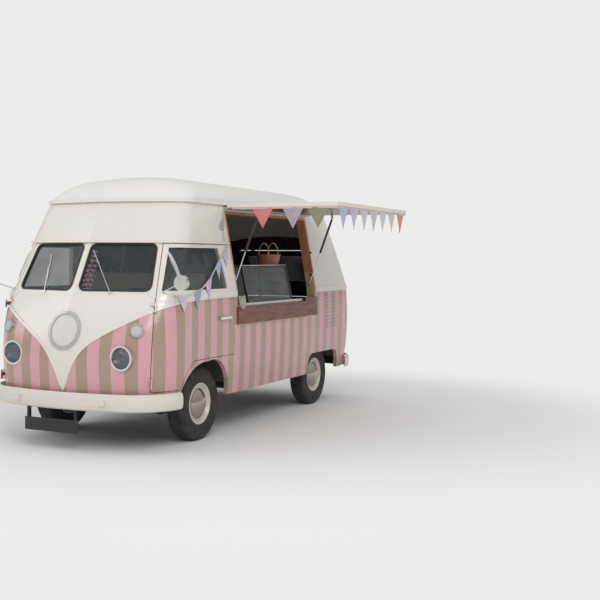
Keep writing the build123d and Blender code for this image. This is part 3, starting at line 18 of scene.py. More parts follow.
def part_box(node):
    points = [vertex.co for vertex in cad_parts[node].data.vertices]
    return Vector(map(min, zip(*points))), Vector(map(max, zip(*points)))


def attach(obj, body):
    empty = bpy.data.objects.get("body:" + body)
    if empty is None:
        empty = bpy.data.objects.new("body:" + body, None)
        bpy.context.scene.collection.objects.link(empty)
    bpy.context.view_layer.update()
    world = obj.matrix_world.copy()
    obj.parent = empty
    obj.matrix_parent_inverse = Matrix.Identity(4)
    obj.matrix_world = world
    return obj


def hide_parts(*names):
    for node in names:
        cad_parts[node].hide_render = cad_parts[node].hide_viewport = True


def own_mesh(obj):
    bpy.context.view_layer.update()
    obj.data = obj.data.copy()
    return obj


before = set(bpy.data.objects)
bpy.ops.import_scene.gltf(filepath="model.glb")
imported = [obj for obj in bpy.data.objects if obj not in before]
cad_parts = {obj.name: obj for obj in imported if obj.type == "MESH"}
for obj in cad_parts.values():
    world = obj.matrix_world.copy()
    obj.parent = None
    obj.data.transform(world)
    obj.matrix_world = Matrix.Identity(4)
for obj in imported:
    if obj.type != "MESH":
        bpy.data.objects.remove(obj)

log = logging.getLogger("van")

Colour = tuple[float, float, float, float]
Triple = tuple[float, float, float]
Socket = bpy.types.NodeSocket
Piece = bpy.types.Object

ROAD_DUST: Colour = (0.22, 0.17, 0.12, 1)
FULL_TURN = 2 * math.pi

# Where the left front wheel's hub lies in the van's own metres: x to its left,
# y back from the front bumper, z up from the ground.
HUB_IN_VAN = Vector((0.687, 0.975, 0.316))


def _shift() -> Vector:
    """How far the van's own frame lies from the scene's, in metres."""
    low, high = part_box("tyre_front_left")
    return HUB_IN_VAN - (low + high) / 2


SHIFT = _shift()


def van(x: float, y: float, z: float) -> Vector:
    """Give a point of the van's own frame, in millimetres, as a scene point."""
    return Vector((x, y, z)) / 1000 - SHIFT


class Axis(IntEnum):
    """The scene's three axes."""

    X = 0
    Y = 1
    Z = 2


class Wheel(Enum):
    """The four wheels, by the end of their nodes' names."""

    FRONT_LEFT = "front_left"
    FRONT_RIGHT = "front_right"
    REAR_LEFT = "rear_left"
    REAR_RIGHT = "rear_right"


# Shader wiring.


class Wiring:
    """Adds nodes to one shader tree and joins them up."""

    def __init__(self, tree: bpy.types.NodeTree) -> None:
        """Keep the tree that the nodes go into."""
        self.tree = tree

    def feed(self, node: bpy.types.Node, inputs: dict | None) -> bpy.types.Node:
        """Set a node's inputs, and link those that are given a socket.

        Args:
            node: The node.
            inputs: Values or sockets by input name or number.

        Returns:
            The same node.
        """
        for name, value in (inputs or {}).items():
            if isinstance(value, Socket):
                self.tree.links.new(value, node.inputs[name])
            else:
                node.inputs[name].default_value = value
        return node

    def add(self, kind: str, inputs: dict | None = None, **settings: object) -> bpy.types.Node:
        """Add one node.

        Args:
            kind: Node type without its ShaderNode prefix.
            inputs: Values or sockets by input name or number.
            settings: Properties set on the node itself.

        Returns:
            The new node.
        """
        node = self.tree.nodes.new("ShaderNode" + kind)
        for name, value in settings.items():
            setattr(node, name, value)
        return self.feed(node, inputs)

    def place(self, effect: str, inputs: dict | None = None) -> bpy.types.NodeOutputs:
        """Put a finished effect in and give its outputs."""
        return self.add("Group", inputs, node_tree=Effect.made[effect]).outputs

    def math(self, operation: str, *values: object, clamp: bool = False) -> Socket:
        """Work out one sum, product or comparison of numbers."""
        return self.add("Math", dict(enumerate(values)), operation=operation, use_clamp=clamp).outputs[0]

    def mix(self, share: object, first: object, second: object) -> Socket:
        """Blend two colours by a share from 0 to 1."""
        return self.add("Mix", {0: share, 6: first, 7: second}, data_type="RGBA").outputs[2]

    def span(
        self, value: object, low: float, high: float, at_low: float = 0.0, at_high: float = 1.0,
    ) -> Socket:
        """Carry a value from one range to another, held at its ends."""
        return self.add("MapRange", {0: value, 1: low, 2: high, 3: at_low, 4: at_high}).outputs[0]

    def noise(self, vector: object, scale: object, detail: float = 3.0, rough: float = 0.55) -> Socket:
        """A soft random value from 0 to 1 over the surface."""
        inputs = {"Vector": vector, "Scale": scale, "Detail": detail, "Roughness": rough}
        return self.add("TexNoise", inputs).outputs["Fac"]

    def stretched(self, vector: object, scale: object) -> Socket:
        """The same coordinates, stretched along each axis."""
        return self.add("Mapping", {"Vector": vector, "Scale": scale}).outputs[0]

    def bump(self, strength: object, distance: float, height: Socket) -> Socket:
        """A normal that follows a small relief."""
        return self.add("Bump", {"Strength": strength, "Distance": distance, "Height": height}).outputs[0]

    def here(self) -> Socket:
        """The surface's place in the scene."""
        return self.add("TexCoord").outputs["Object"]

    def split(self, vector: object) -> bpy.types.NodeOutputs:
        """A vector's three numbers."""
        return self.add("SeparateXYZ", {0: vector}).outputs

    def in_van(self) -> list[Socket]:
        """The surface's place in the van's own metres: x, y and z."""
        return [self.math("ADD", part, shift) for part, shift in zip(self.split(self.here()), SHIFT)]

    def patchy(self, colour: object, scale: float, amount: float) -> Socket:
        """A colour with slow changes of tone."""
        return self.place("patchy", {"Colour": colour, "Scale": scale, "Amount": amount})["Colour"]


class Effect:
    """A shader node group, built once and placed in several finishes."""

    made: dict[str, bpy.types.NodeTree] = {}

    def __init__(self, name: str, inputs: dict[str, tuple[str, object]], outputs: dict[str, str]) -> None:
        """Make the group's tree with named sockets.

        Args:
            name: The group's name.
            inputs: Socket kind and default by input name.
            outputs: Socket kind by output name.
        """
        self.tree = bpy.data.node_groups.new(name, "ShaderNodeTree")
        for label, (kind, default) in inputs.items():
            socket = self.tree.interface.new_socket(label, in_out="INPUT", socket_type="NodeSocket" + kind)
            socket.default_value = default
        for label, kind in outputs.items():
            self.tree.interface.new_socket(label, in_out="OUTPUT", socket_type="NodeSocket" + kind)
        self.wiring = Wiring(self.tree)
        self.take = self.tree.nodes.new("NodeGroupInput").outputs
        self.sink = self.tree.nodes.new("NodeGroupOutput")
        Effect.made[name] = self.tree

    def give(self, **sockets: Socket) -> None:
        """Join sockets to the group's outputs, by their names."""
        self.wiring.feed(self.sink, sockets)


# Shared effects.


@dataclass(frozen=True)
class Stripes:
    """The painted stripes that run round the van below its belt, in its own metres."""

    pitch: float = 0.208
    start: float = 0.030
    share: float = 0.505
    wander: float = 0.03
    corner_x: float = 0.500
    corner_y: float = 0.541
    corner_radius: float = 0.365
    rear_x: float = 0.675
    rear_y: float = 4.020
    rear_radius: float = 0.200
    middle_y: float = 2.0
    edge_reach_mm: int = 4000
    edge_top_mm: int = 1400
    edge: tuple[tuple[int, int], ...] = (
        (0, 480), (28, 527), (71, 636), (132, 746), (212, 841), (328, 921),
        (536, 1032), (801, 1140), (960, 1185), (1100, 1206), (1300, 1213), (4000, 1213),
    )

    def build(self) -> None:
        """Make the group that measures the way round the van and marks stripes."""
        effect = Effect("way_round", {}, {"Height": "Float", "Stripe": "Float", "Cream": "Float"})
        w = effect.wiring
        x, y, height = w.in_van()
        x = w.math("ABSOLUTE", x)
        out_front = w.math("MAXIMUM", w.math("SUBTRACT", x, self.corner_x), 0.0)
        ahead = w.math("MAXIMUM", w.math("SUBTRACT", self.corner_y, y), 0.0001)
        front_turn = w.math("ARCTAN2", out_front, ahead)
        out_rear = w.math("MAXIMUM", w.math("SUBTRACT", x, self.rear_x), 0.0001)
        behind = w.math("MAXIMUM", w.math("SUBTRACT", y, self.rear_y), 0.0)
        rear_turn = w.math("ARCTAN2", behind, out_rear)
        across = w.math("MINIMUM", x, self.corner_x)
        side = w.math("MAXIMUM", w.math("SUBTRACT", y, self.corner_y), 0.0)
        side = w.math("MINIMUM", side, self.rear_y - self.corner_y)
        inward = w.math("MAXIMUM", w.math("SUBTRACT", self.rear_x, x), 0.0)
        inward = w.math("MULTIPLY", inward, w.math("GREATER_THAN", y, self.rear_y))
        past_middle = w.math("MULTIPLY", w.math("GREATER_THAN", y, self.middle_y), self.corner_x)
        across = w.math("MAXIMUM", across, past_middle)
        across = w.math("MULTIPLY_ADD", front_turn, self.corner_radius, across)
        side = w.math("MULTIPLY_ADD", rear_turn, self.rear_radius, side)
        along = w.math("ADD", w.math("ADD", across, side), inward)
        phase = w.math("FRACT", w.math("DIVIDE", w.math("SUBTRACT", along, self.start), self.pitch))
        wobble = w.math("MULTIPLY", w.math("SUBTRACT", w.noise(w.here(), 3.0, 1.0), 0.5), self.wander)
        stripe = w.math("LESS_THAN", phase, w.math("ADD", wobble, self.share))
        curve = w.add("FloatCurve", {1: w.math("DIVIDE", along, self.edge_reach_mm / 1000, clamp=True)})
        self.draw_edge(curve)
        edge = w.math("MULTIPLY", curve.outputs[0], self.edge_top_mm / 1000)
        effect.give(Height=height, Stripe=stripe, Cream=w.math("GREATER_THAN", height, edge))

    def draw_edge(self, node: bpy.types.Node) -> None:
        """Draw the cream panel's lower edge, height against the way round."""
        line = node.mapping.curves[0]
        while len(line.points) > 2:
            line.points.remove(line.points[1])
        spots = [(along / self.edge_reach_mm, height / self.edge_top_mm) for along, height in self.edge]
        line.points[0].location, line.points[-1].location = spots[0], spots[-1]
        for spot in spots[1:-1]:
            line.points.new(*spot)
        node.mapping.update()


@dataclass(frozen=True)
class SurfaceEffects:
    """Small effects that several finishes share, with places in the van's own metres."""

    side_from: float = 0.45
    nose_to: float = 0.75
    tail_from: float = 3.9
    turned: float = 0.3
    threads: float = 900.0

    def build(self) -> None:
        """Make every shared group."""
        self.patchy()
        self.road_dust()
        self.peel()
        self.fine_lines()
        self.cloth_weave()
        self.inner_faces()

    def inner_faces(self) -> None:
        """Mark the shell's faces that look into the van, where the striped enamel paints shade."""
        effect = Effect("inner_faces", {}, {"Mask": "Float"})
        w = effect.wiring
        x, y, _ = w.in_van()
        facing = w.split(w.add("TexCoord").outputs["Normal"])
        aside = w.math("LESS_THAN", w.math("MULTIPLY", facing[0], w.math("SIGN", x)), -self.turned)
        aside = w.math("MULTIPLY", aside, w.math("GREATER_THAN", w.math("ABSOLUTE", x), self.side_from))
        backwards = w.math("GREATER_THAN", facing[1], self.turned)
        forwards = w.math("LESS_THAN", facing[1], -self.turned)
        nose = w.math("MULTIPLY", backwards, w.math("LESS_THAN", y, self.nose_to))
        tail = w.math("MULTIPLY", forwards, w.math("GREATER_THAN", y, self.tail_from))
        effect.give(Mask=w.math("MAXIMUM", aside, w.math("MAXIMUM", nose, tail)))

    def patchy(self) -> None:
        """Slow changes of tone, with fine specks on top."""
        inputs = {"Colour": ("Color", (0.8, 0.8, 0.8, 1)), "Scale": ("Float", 2.0), "Amount": ("Float", 0.1)}
        effect = Effect("patchy", inputs, {"Colour": "Color"})
        w = effect.wiring
        at = w.here()
        slow = w.add("TexNoise", {"Vector": at, "Scale": effect.take["Scale"], "Detail": 4.0}).outputs["Fac"]
        value = w.math("MULTIPLY_ADD", w.noise(at, 90.0, 2.0), 0.35, w.math("MULTIPLY", slow, 0.65))
        gain = w.math("MULTIPLY_ADD", w.math("SUBTRACT", value, 0.5), effect.take["Amount"], 1.0)
        hsv = w.add("HueSaturation", {"Color": effect.take["Colour"], "Value": gain})
        effect.give(Colour=hsv.outputs[0])

    def road_dust(self) -> None:
        """Dust and splashes that thin out with height."""
        effect = Effect("road_dust", {"Top": ("Float", 0.7), "Amount": ("Float", 0.5)}, {"Mask": "Float"})
        w = effect.wiring
        height = w.in_van()[Axis.Z]
        low = w.math("SUBTRACT", 1.0, w.math("DIVIDE", height, effect.take["Top"]), clamp=True)
        cloud = w.span(w.noise(w.stretched(w.here(), (1.0, 1.0, 2.5)), 6.0, 6.0, 0.7), 0.35, 0.75)
        mask = w.math("MULTIPLY", w.math("MULTIPLY", low, cloud), effect.take["Amount"], clamp=True)
        effect.give(Mask=mask)

    def peel(self) -> None:
        """The faint unevenness of hand-sprayed paint and pressed sheet."""
        effect = Effect("peel", {"Strength": ("Float", 0.1)}, {"Normal": "Vector"})
        w = effect.wiring
        at = w.here()
        height = w.math("MULTIPLY_ADD", w.noise(at, 2.2, 1.0), 12.0, w.noise(at, 260.0, 2.0))
        effect.give(Normal=w.bump(effect.take["Strength"], 0.0004, height))

    def fine_lines(self) -> None:
        """Fine parallel marks, such as brushing or wood grain."""
        inputs = {"Stretch": ("Vector", (1.0, 1.0, 1.0)), "Scale": ("Float", 60.0)}
        effect = Effect("fine_lines", inputs, {"Value": "Float", "Fine": "Float"})
        w = effect.wiring
        pulled = w.stretched(w.here(), effect.take["Stretch"])
        coarse = w.noise(pulled, effect.take["Scale"], 5.0, 0.6)
        closer = w.math("MULTIPLY", effect.take["Scale"], 6.0)
        fine = w.add("TexNoise", {"Vector": pulled, "Scale": closer, "Detail": 2.0}).outputs["Fac"]
        effect.give(Value=coarse, Fine=fine)

    def cloth_weave(self) -> None:
        """Crossing threads on a piece's own cloth map, in metres."""
        inputs = {"Threads": ("Float", self.threads), "Strength": ("Float", 0.4)}
        effect = Effect("cloth_weave", inputs, {"Normal": "Vector"})
        w = effect.wiring
        at = w.split(w.add("UVMap").outputs[0])
        turn = w.math("MULTIPLY", effect.take["Threads"], FULL_TURN)
        warp = w.math("SINE", w.math("MULTIPLY", at[0], turn))
        weft = w.math("SINE", w.math("MULTIPLY", at[1], turn))
        effect.give(Normal=w.bump(effect.take["Strength"], 0.0003, w.math("MULTIPLY", warp, weft)))


# Finishes.


@dataclass(frozen=True)
class Finish:
    """One material of the van: a Principled shader with its plain values."""

    name: str
    colour: Colour = (0.8, 0.8, 0.8, 1)
    roughness: float = 0.5
    metallic: float = 0.0
    coat: float = 0.0
    coat_roughness: float = 0.08

    def build(self) -> bpy.types.Material:
        """Make the material."""
        material = bpy.data.materials.new(self.name)
        material.use_nodes = True
        material.node_tree.nodes.clear()
        w = Wiring(material.node_tree)
        plain = {
            "Base Color": self.colour,
            "Roughness": self.roughness,
            "Metallic": self.metallic,
            "Coat Weight": self.coat,
            "Coat Roughness": self.coat_roughness,
        }
        shader = w.add("BsdfPrincipled", plain)
        w.feed(shader, self.varied(w))
        w.add("OutputMaterial", {"Surface": shader.outputs[0]})
        return material

    def varied(self, w: Wiring) -> dict[str, object]:
        """Give what changes over the surface, by the shader's input.

        Args:
            w: The material's wiring.

        Returns:
            Sockets or values by input name.
        """
        return {}


@dataclass(frozen=True)
class Enamel(Finish):
    """Sprayed paint with slow tone changes, faint peel and dust low down."""

    tone: float = 0.06
    dust: float = 0.35
    dust_top: float = 0.75
    peel: float = 0.15

    def paint(self, w: Wiring) -> Socket:
        """The paint's own colour before dust."""
        return w.patchy(self.colour, 1.3, self.tone)

    def varied(self, w: Wiring) -> dict[str, object]:
        """Paint, its dust and its peel."""
        dust = w.place("road_dust", {"Top": self.dust_top, "Amount": self.dust})["Mask"]
        smear = w.span(w.noise(w.here(), 7.0, 5.0), 0.3, 0.8, self.roughness * 0.8, self.roughness * 1.35)
        return {
            "Base Color": w.mix(dust, self.paint(w), ROAD_DUST),
            "Roughness": w.math("MULTIPLY_ADD", dust, 0.4, smear),
            "Normal": w.place("peel", {"Strength": self.peel})["Normal"],
        }


@dataclass(frozen=True)
class StripedEnamel(Enamel):
    """Cream above the belt line, pink and tan stripes below it, and painted shade on the faces inside the
    van.
    """

    pink: Colour = (0.63, 0.335, 0.365, 1)
    tan: Colour = (0.385, 0.262, 0.198, 1)
    roof: Colour = (0.82, 0.79, 0.75, 1)
    roof_from: float = 2.036
    # Painted shade: the very dark brown of the van's inside faces.
    inside_shade: Colour = (0.075, 0.055, 0.042, 1)

    def paint(self, w: Wiring) -> Socket:
        """The paint's own colour before dust, with painted shade on the faces inside the van."""
        way = w.place("way_round")
        striped = w.mix(way["Stripe"], self.tan, self.pink)
        painted = w.mix(way["Cream"], striped, self.colour)
        painted = w.mix(w.math("GREATER_THAN", way["Height"], self.roof_from), painted, self.roof)
        # Painted shade: faces that look into the van are painted very dark brown.
        painted = w.mix(w.place("inner_faces")["Mask"], painted, self.inside_shade)
        return w.patchy(painted, 1.6, self.tone)


@dataclass(frozen=True)
class TwoFaced(Enamel):
    """Paint on the upper side; on the underside, board with a dark stain, darkened further with painted
    shade.
    """

    # Painted shade: the underside's board colours are darker than the board itself, as if in its own shade.
    under: Colour = (0.16, 0.065, 0.04, 1)
    under_dark: Colour = (0.09, 0.035, 0.022, 1)
    rim: float = 0.35

    def paint(self, w: Wiring) -> Socket:
        """The paint's own colour before dust, with painted shade on the faces that look down."""
        facing = w.split(w.add("TexCoord").outputs["Normal"])[Axis.Z]
        lines = w.place("fine_lines", {"Stretch": (1.0, 0.06, 1.0), "Scale": 30.0})["Value"]
        # Painted shade: faces that look down take the dark board colours.
        stained_and_shaded = w.mix(w.span(lines, 0.35, 0.65), self.under, self.under_dark)
        return w.mix(w.math("LESS_THAN", facing, -self.rim), w.patchy(self.colour, 1.3, self.tone), stained_and_shaded)


@dataclass(frozen=True)
class Plated(Finish):
    """Bright plate with faint pitting and smears."""

    metallic: float = 1.0
    roughness: float = 0.12
    pitting: float = 0.05

    def varied(self, w: Wiring) -> dict[str, object]:
        """Smears and pits."""
        smear = w.noise(w.here(), 30.0, 5.0)
        return {
            "Base Color": w.patchy(self.colour, 12.0, 0.12),
            "Roughness": w.span(smear, 0.35, 0.75, self.roughness * 0.7, self.roughness * 1.8),
            "Normal": w.bump(self.pitting, 0.0003, w.noise(w.here(), 420.0, 2.0)),
        }


@dataclass(frozen=True)
class Pane(Finish):
    """Clear glass: mostly see-through, with a faint tint, dust and gloss."""

    opacity: float = 0.22
    roughness: float = 0.03

    def varied(self, w: Wiring) -> dict[str, object]:
        """A film of dust on clear glass."""
        film = w.span(w.noise(w.here(), 5.0, 5.0, 0.65), 0.45, 0.8, 0.0, 0.10)
        return {
            "Alpha": w.math("ADD", film, self.opacity),
            "Roughness": w.math("MULTIPLY_ADD", film, 0.6, self.roughness),
        }


@dataclass(frozen=True)
class Lens(Finish):
    """Pressed lamp glass with upright ribs."""

    rib: float = 0.009
    roughness: float = 0.12
    opacity: float = 0.6

    def varied(self, w: Wiring) -> dict[str, object]:
        """Upright ribs, crossed by wider ones."""
        at = w.split(w.here())
        upright = w.math("SINE", w.math("MULTIPLY", at[Axis.X], FULL_TURN / self.rib))
        cross = w.math("SINE", w.math("MULTIPLY", at[Axis.Z], FULL_TURN / (self.rib * 4)))
        height = w.math("MULTIPLY_ADD", cross, 0.3, upright)
        return {
            "Alpha": w.span(height, -1.3, 1.3, self.opacity - 0.15, self.opacity + 0.2),
            "Normal": w.bump(0.6, 0.002, height),
        }


@dataclass(frozen=True)
class Rubber(Finish):
    """Black rubber, greyer where it is dusty."""

    dust: float = 0.5
    dusty: Colour = (0.12, 0.105, 0.09, 1)

    def varied(self, w: Wiring) -> dict[str, object]:
        """Clouds of dust and a fine grain."""
        cloud = w.span(w.noise(w.here(), 14.0, 6.0, 0.7), 0.4, 0.8, 0.0, self.dust)
        return {
            "Base Color": w.mix(cloud, self.colour, self.dusty),
            "Normal": w.bump(0.3, 0.0006, w.noise(w.here(), 300.0, 3.0)),
        }


@dataclass(frozen=True)
class Timber(Finish):
    """Wood with its grain along one axis, under a worn varnish, and, where a paler foot is given, painted
    light: a lit foot below a shaded upper part.
    """

    dark: Colour = (0.16, 0.07, 0.03, 1)
    stretch: Triple = (1.0, 1.0, 0.08)
    scale: float = 40.0
    # Painted light: the colour of the lit foot, and the height above which the wood is painted as shaded.
    low: Colour | None = None
    lit_foot_top: float = 0.0

    def varied(self, w: Wiring) -> dict[str, object]:
        """Grain in colour, gloss and relief, with painted light on a paler foot where one is given."""
        lines = w.place("fine_lines", {"Stretch": self.stretch, "Scale": self.scale})
        grain = w.math("MULTIPLY_ADD", lines["Fine"], 0.3, w.math("MULTIPLY", lines["Value"], 0.7))
        grain = w.span(grain, 0.36, 0.64)
        wood = w.mix(grain, self.dark, self.colour)
        # Painted light: below that height the wood takes the paler lit colour, above it the darker shaded
        # one.
        if self.low is not None:
            lit_paler_wood = w.mix(grain, tuple(0.75 * part for part in self.low[:3]) + (1,), self.low)
            wood = w.mix(w.math("LESS_THAN", w.in_van()[Axis.Z], self.lit_foot_top), wood, lit_paler_wood)
        return {
            "Base Color": w.patchy(wood, 3.0, 0.25),
            "Roughness": w.span(grain, 0.0, 1.0, self.roughness + 0.12, self.roughness - 0.05),
            "Normal": w.bump(0.35, 0.0006, lines["Fine"]),
        }


@dataclass(frozen=True)
class Brushed(Finish):
    """Stainless sheet brushed along one axis, with wipe marks."""

    metallic: float = 1.0
    stretch: Triple = (1.0, 0.03, 1.0)

    def varied(self, w: Wiring) -> dict[str, object]:
        """Brush marks in gloss and relief."""
        lines = w.place("fine_lines", {"Stretch": self.stretch, "Scale": 160.0})
        return {
            "Base Color": w.patchy(self.colour, 6.0, 0.15),
            "Roughness": w.span(lines["Value"], 0.3, 0.7, self.roughness - 0.08, self.roughness + 0.12),
            "Normal": w.bump(0.12, 0.0003, lines["Fine"]),
        }


@dataclass(frozen=True)
class RoughMetal(Finish):
    """Cast or painted underbody metal with rust and road dirt."""

    rust: float = 0.5
    rusty: Colour = (0.11, 0.06, 0.035, 1)

    def varied(self, w: Wiring) -> dict[str, object]:
        """Patches of rust on a rough skin."""
        patch = w.span(w.noise(w.here(), 11.0, 7.0, 0.7), 0.5, 0.75, 0.0, self.rust)
        return {
            "Base Color": w.mix(patch, self.colour, self.rusty),
            "Roughness": w.span(patch, 0.0, 0.5, self.roughness, 0.85),
            "Normal": w.bump(0.5, 0.001, w.noise(w.here(), 120.0, 4.0)),
        }


@dataclass(frozen=True)
class Hide(Finish):
    """Stretched leathercloth with a fine pebbled grain."""

    grain: float = 420.0

    def varied(self, w: Wiring) -> dict[str, object]:
        """A pebbled grain."""
        cells = w.add("TexVoronoi", {"Vector": w.here(), "Scale": self.grain}).outputs["Distance"]
        return {"Base Color": w.patchy(self.colour, 4.0, 0.18), "Normal": w.bump(0.25, 0.0006, cells)}


@dataclass(frozen=True)
class TwoTone(Finish):
    """One finish inside a radius of a lengthways or crosswise line, another outside.

    Centres are (first, second) pairs in the van's own metres, on the two axes
    that the distance is measured on.
    """

    inner: Colour = (0.6, 0.6, 0.6, 1)
    inner_metal: float = 1.0
    inner_rough: float = 0.14
    radius: float = 0.13
    axes: tuple[Axis, Axis] = (Axis.Y, Axis.Z)
    centres: tuple[tuple[float, float], ...] = ((0.975, 0.316), (3.375, 0.316))
    ribs: float = 0.0
    rear_inner: Colour | None = None
    grime: Colour = (0.05, 0.04, 0.035, 1)
    grime_width: float = 0.012

    def distance(self, w: Wiring) -> Socket:
        """The way to the nearest centre."""
        at = w.in_van()
        at[Axis.X] = w.math("ABSOLUTE", at[Axis.X])
        nearest = None
        for centre in self.centres:
            offsets = [w.math("SUBTRACT", at[axis], value) for axis, value in zip(self.axes, centre)]
            away = w.math("SQRT", w.math("ADD", *(w.math("POWER", offset, 2.0) for offset in offsets)))
            nearest = away if nearest is None else w.math("MINIMUM", nearest, away)
        return nearest

    def varied(self, w: Wiring) -> dict[str, object]:
        """Both finishes, with grime where they meet."""
        distance = self.distance(w)
        inside = w.math("LESS_THAN", distance, self.radius)
        edge = w.span(distance, self.radius - self.grime_width, self.radius)
        grime = w.math("MULTIPLY", w.math("MULTIPLY", edge, inside), 0.55)
        dust = w.place("road_dust", {"Top": 0.8, "Amount": 0.35})["Mask"]
        outer = w.mix(dust, w.patchy(self.colour, 4.0, 0.12), ROAD_DUST)
        behind = w.math("GREATER_THAN", w.in_van()[Axis.Y], SHIFT.y)
        # The inner finish's colour; on the wheels' hubcaps it is a painted reflection of the ground.
        bright = w.patchy(w.mix(behind, self.inner, self.rear_inner or self.inner), 9.0, 0.15)
        smear = w.span(w.noise(w.here(), 20.0, 5.0), 0.3, 0.8, 0.8, 1.5)
        rough = w.math("MULTIPLY_ADD", inside, self.inner_rough - self.roughness, self.roughness)
        height = w.noise(w.here(), 300.0, 2.0)
        if self.ribs:
            rib = w.math("SINE", w.math("MULTIPLY", distance, FULL_TURN / self.ribs))
            height = w.math("MULTIPLY_ADD", w.math("MULTIPLY", rib, inside), 3.0, height)
        return {
            "Base Color": w.mix(grime, w.mix(inside, outer, bright), self.grime),
            "Metallic": w.math("MULTIPLY_ADD", inside, self.inner_metal - self.metallic, self.metallic),
            "Roughness": w.math("MULTIPLY", rough, smear),
            "Normal": w.bump(0.12, 0.0005, height),
        }


@dataclass(frozen=True)
class Cotton(Finish):
    """Printed cotton with small scattered sprigs and crossing threads."""

    sprig: Colour = (0.9, 0.9, 0.9, 1)
    sprigs: float = 55.0
    share: float = 0.35
    roughness: float = 0.85

    def varied(self, w: Wiring) -> dict[str, object]:
        """The print, faded in places, and the weave."""
        cloth = w.add("UVMap").outputs[0]
        cells = w.add("TexVoronoi", {"Vector": cloth, "Scale": self.sprigs, "Randomness": 0.6})
        away = cells.outputs["Distance"]
        printed = w.mix(w.math("LESS_THAN", away, self.share * 0.75), self.colour, self.sprig)
        printed = w.mix(w.math("LESS_THAN", away, self.share * 0.3), printed, self.colour)
        fade = w.span(w.noise(cloth, 9.0, 4.0), 0.3, 0.7, 0.86, 1.08)
        return {
            "Base Color": w.add("HueSaturation", {"Color": printed, "Value": fade}).outputs[0],
            "Normal": w.place("cloth_weave", {"Strength": 0.35})["Normal"],
            "Sheen Weight": 0.25,
            "Sheen Roughness": 0.5,
        }


@dataclass(frozen=True)
class Moulded(Finish):
    """Moulded black plastic or painted rod with a fine grain and worn places."""

    worn: Colour = (0.07, 0.07, 0.072, 1)

    def varied(self, w: Wiring) -> dict[str, object]:
        """Worn places and a fine grain."""
        wear = w.span(w.noise(w.here(), 22.0, 5.0, 0.65), 0.55, 0.8)
        return {
            "Base Color": w.mix(wear, self.colour, self.worn),
            "Roughness": w.span(wear, 0.0, 1.0, self.roughness, self.roughness + 0.2),
            "Normal": w.bump(0.2, 0.0004, w.noise(w.here(), 500.0, 2.0)),
        }


CREAM: Colour = (0.74, 0.69, 0.625, 1)

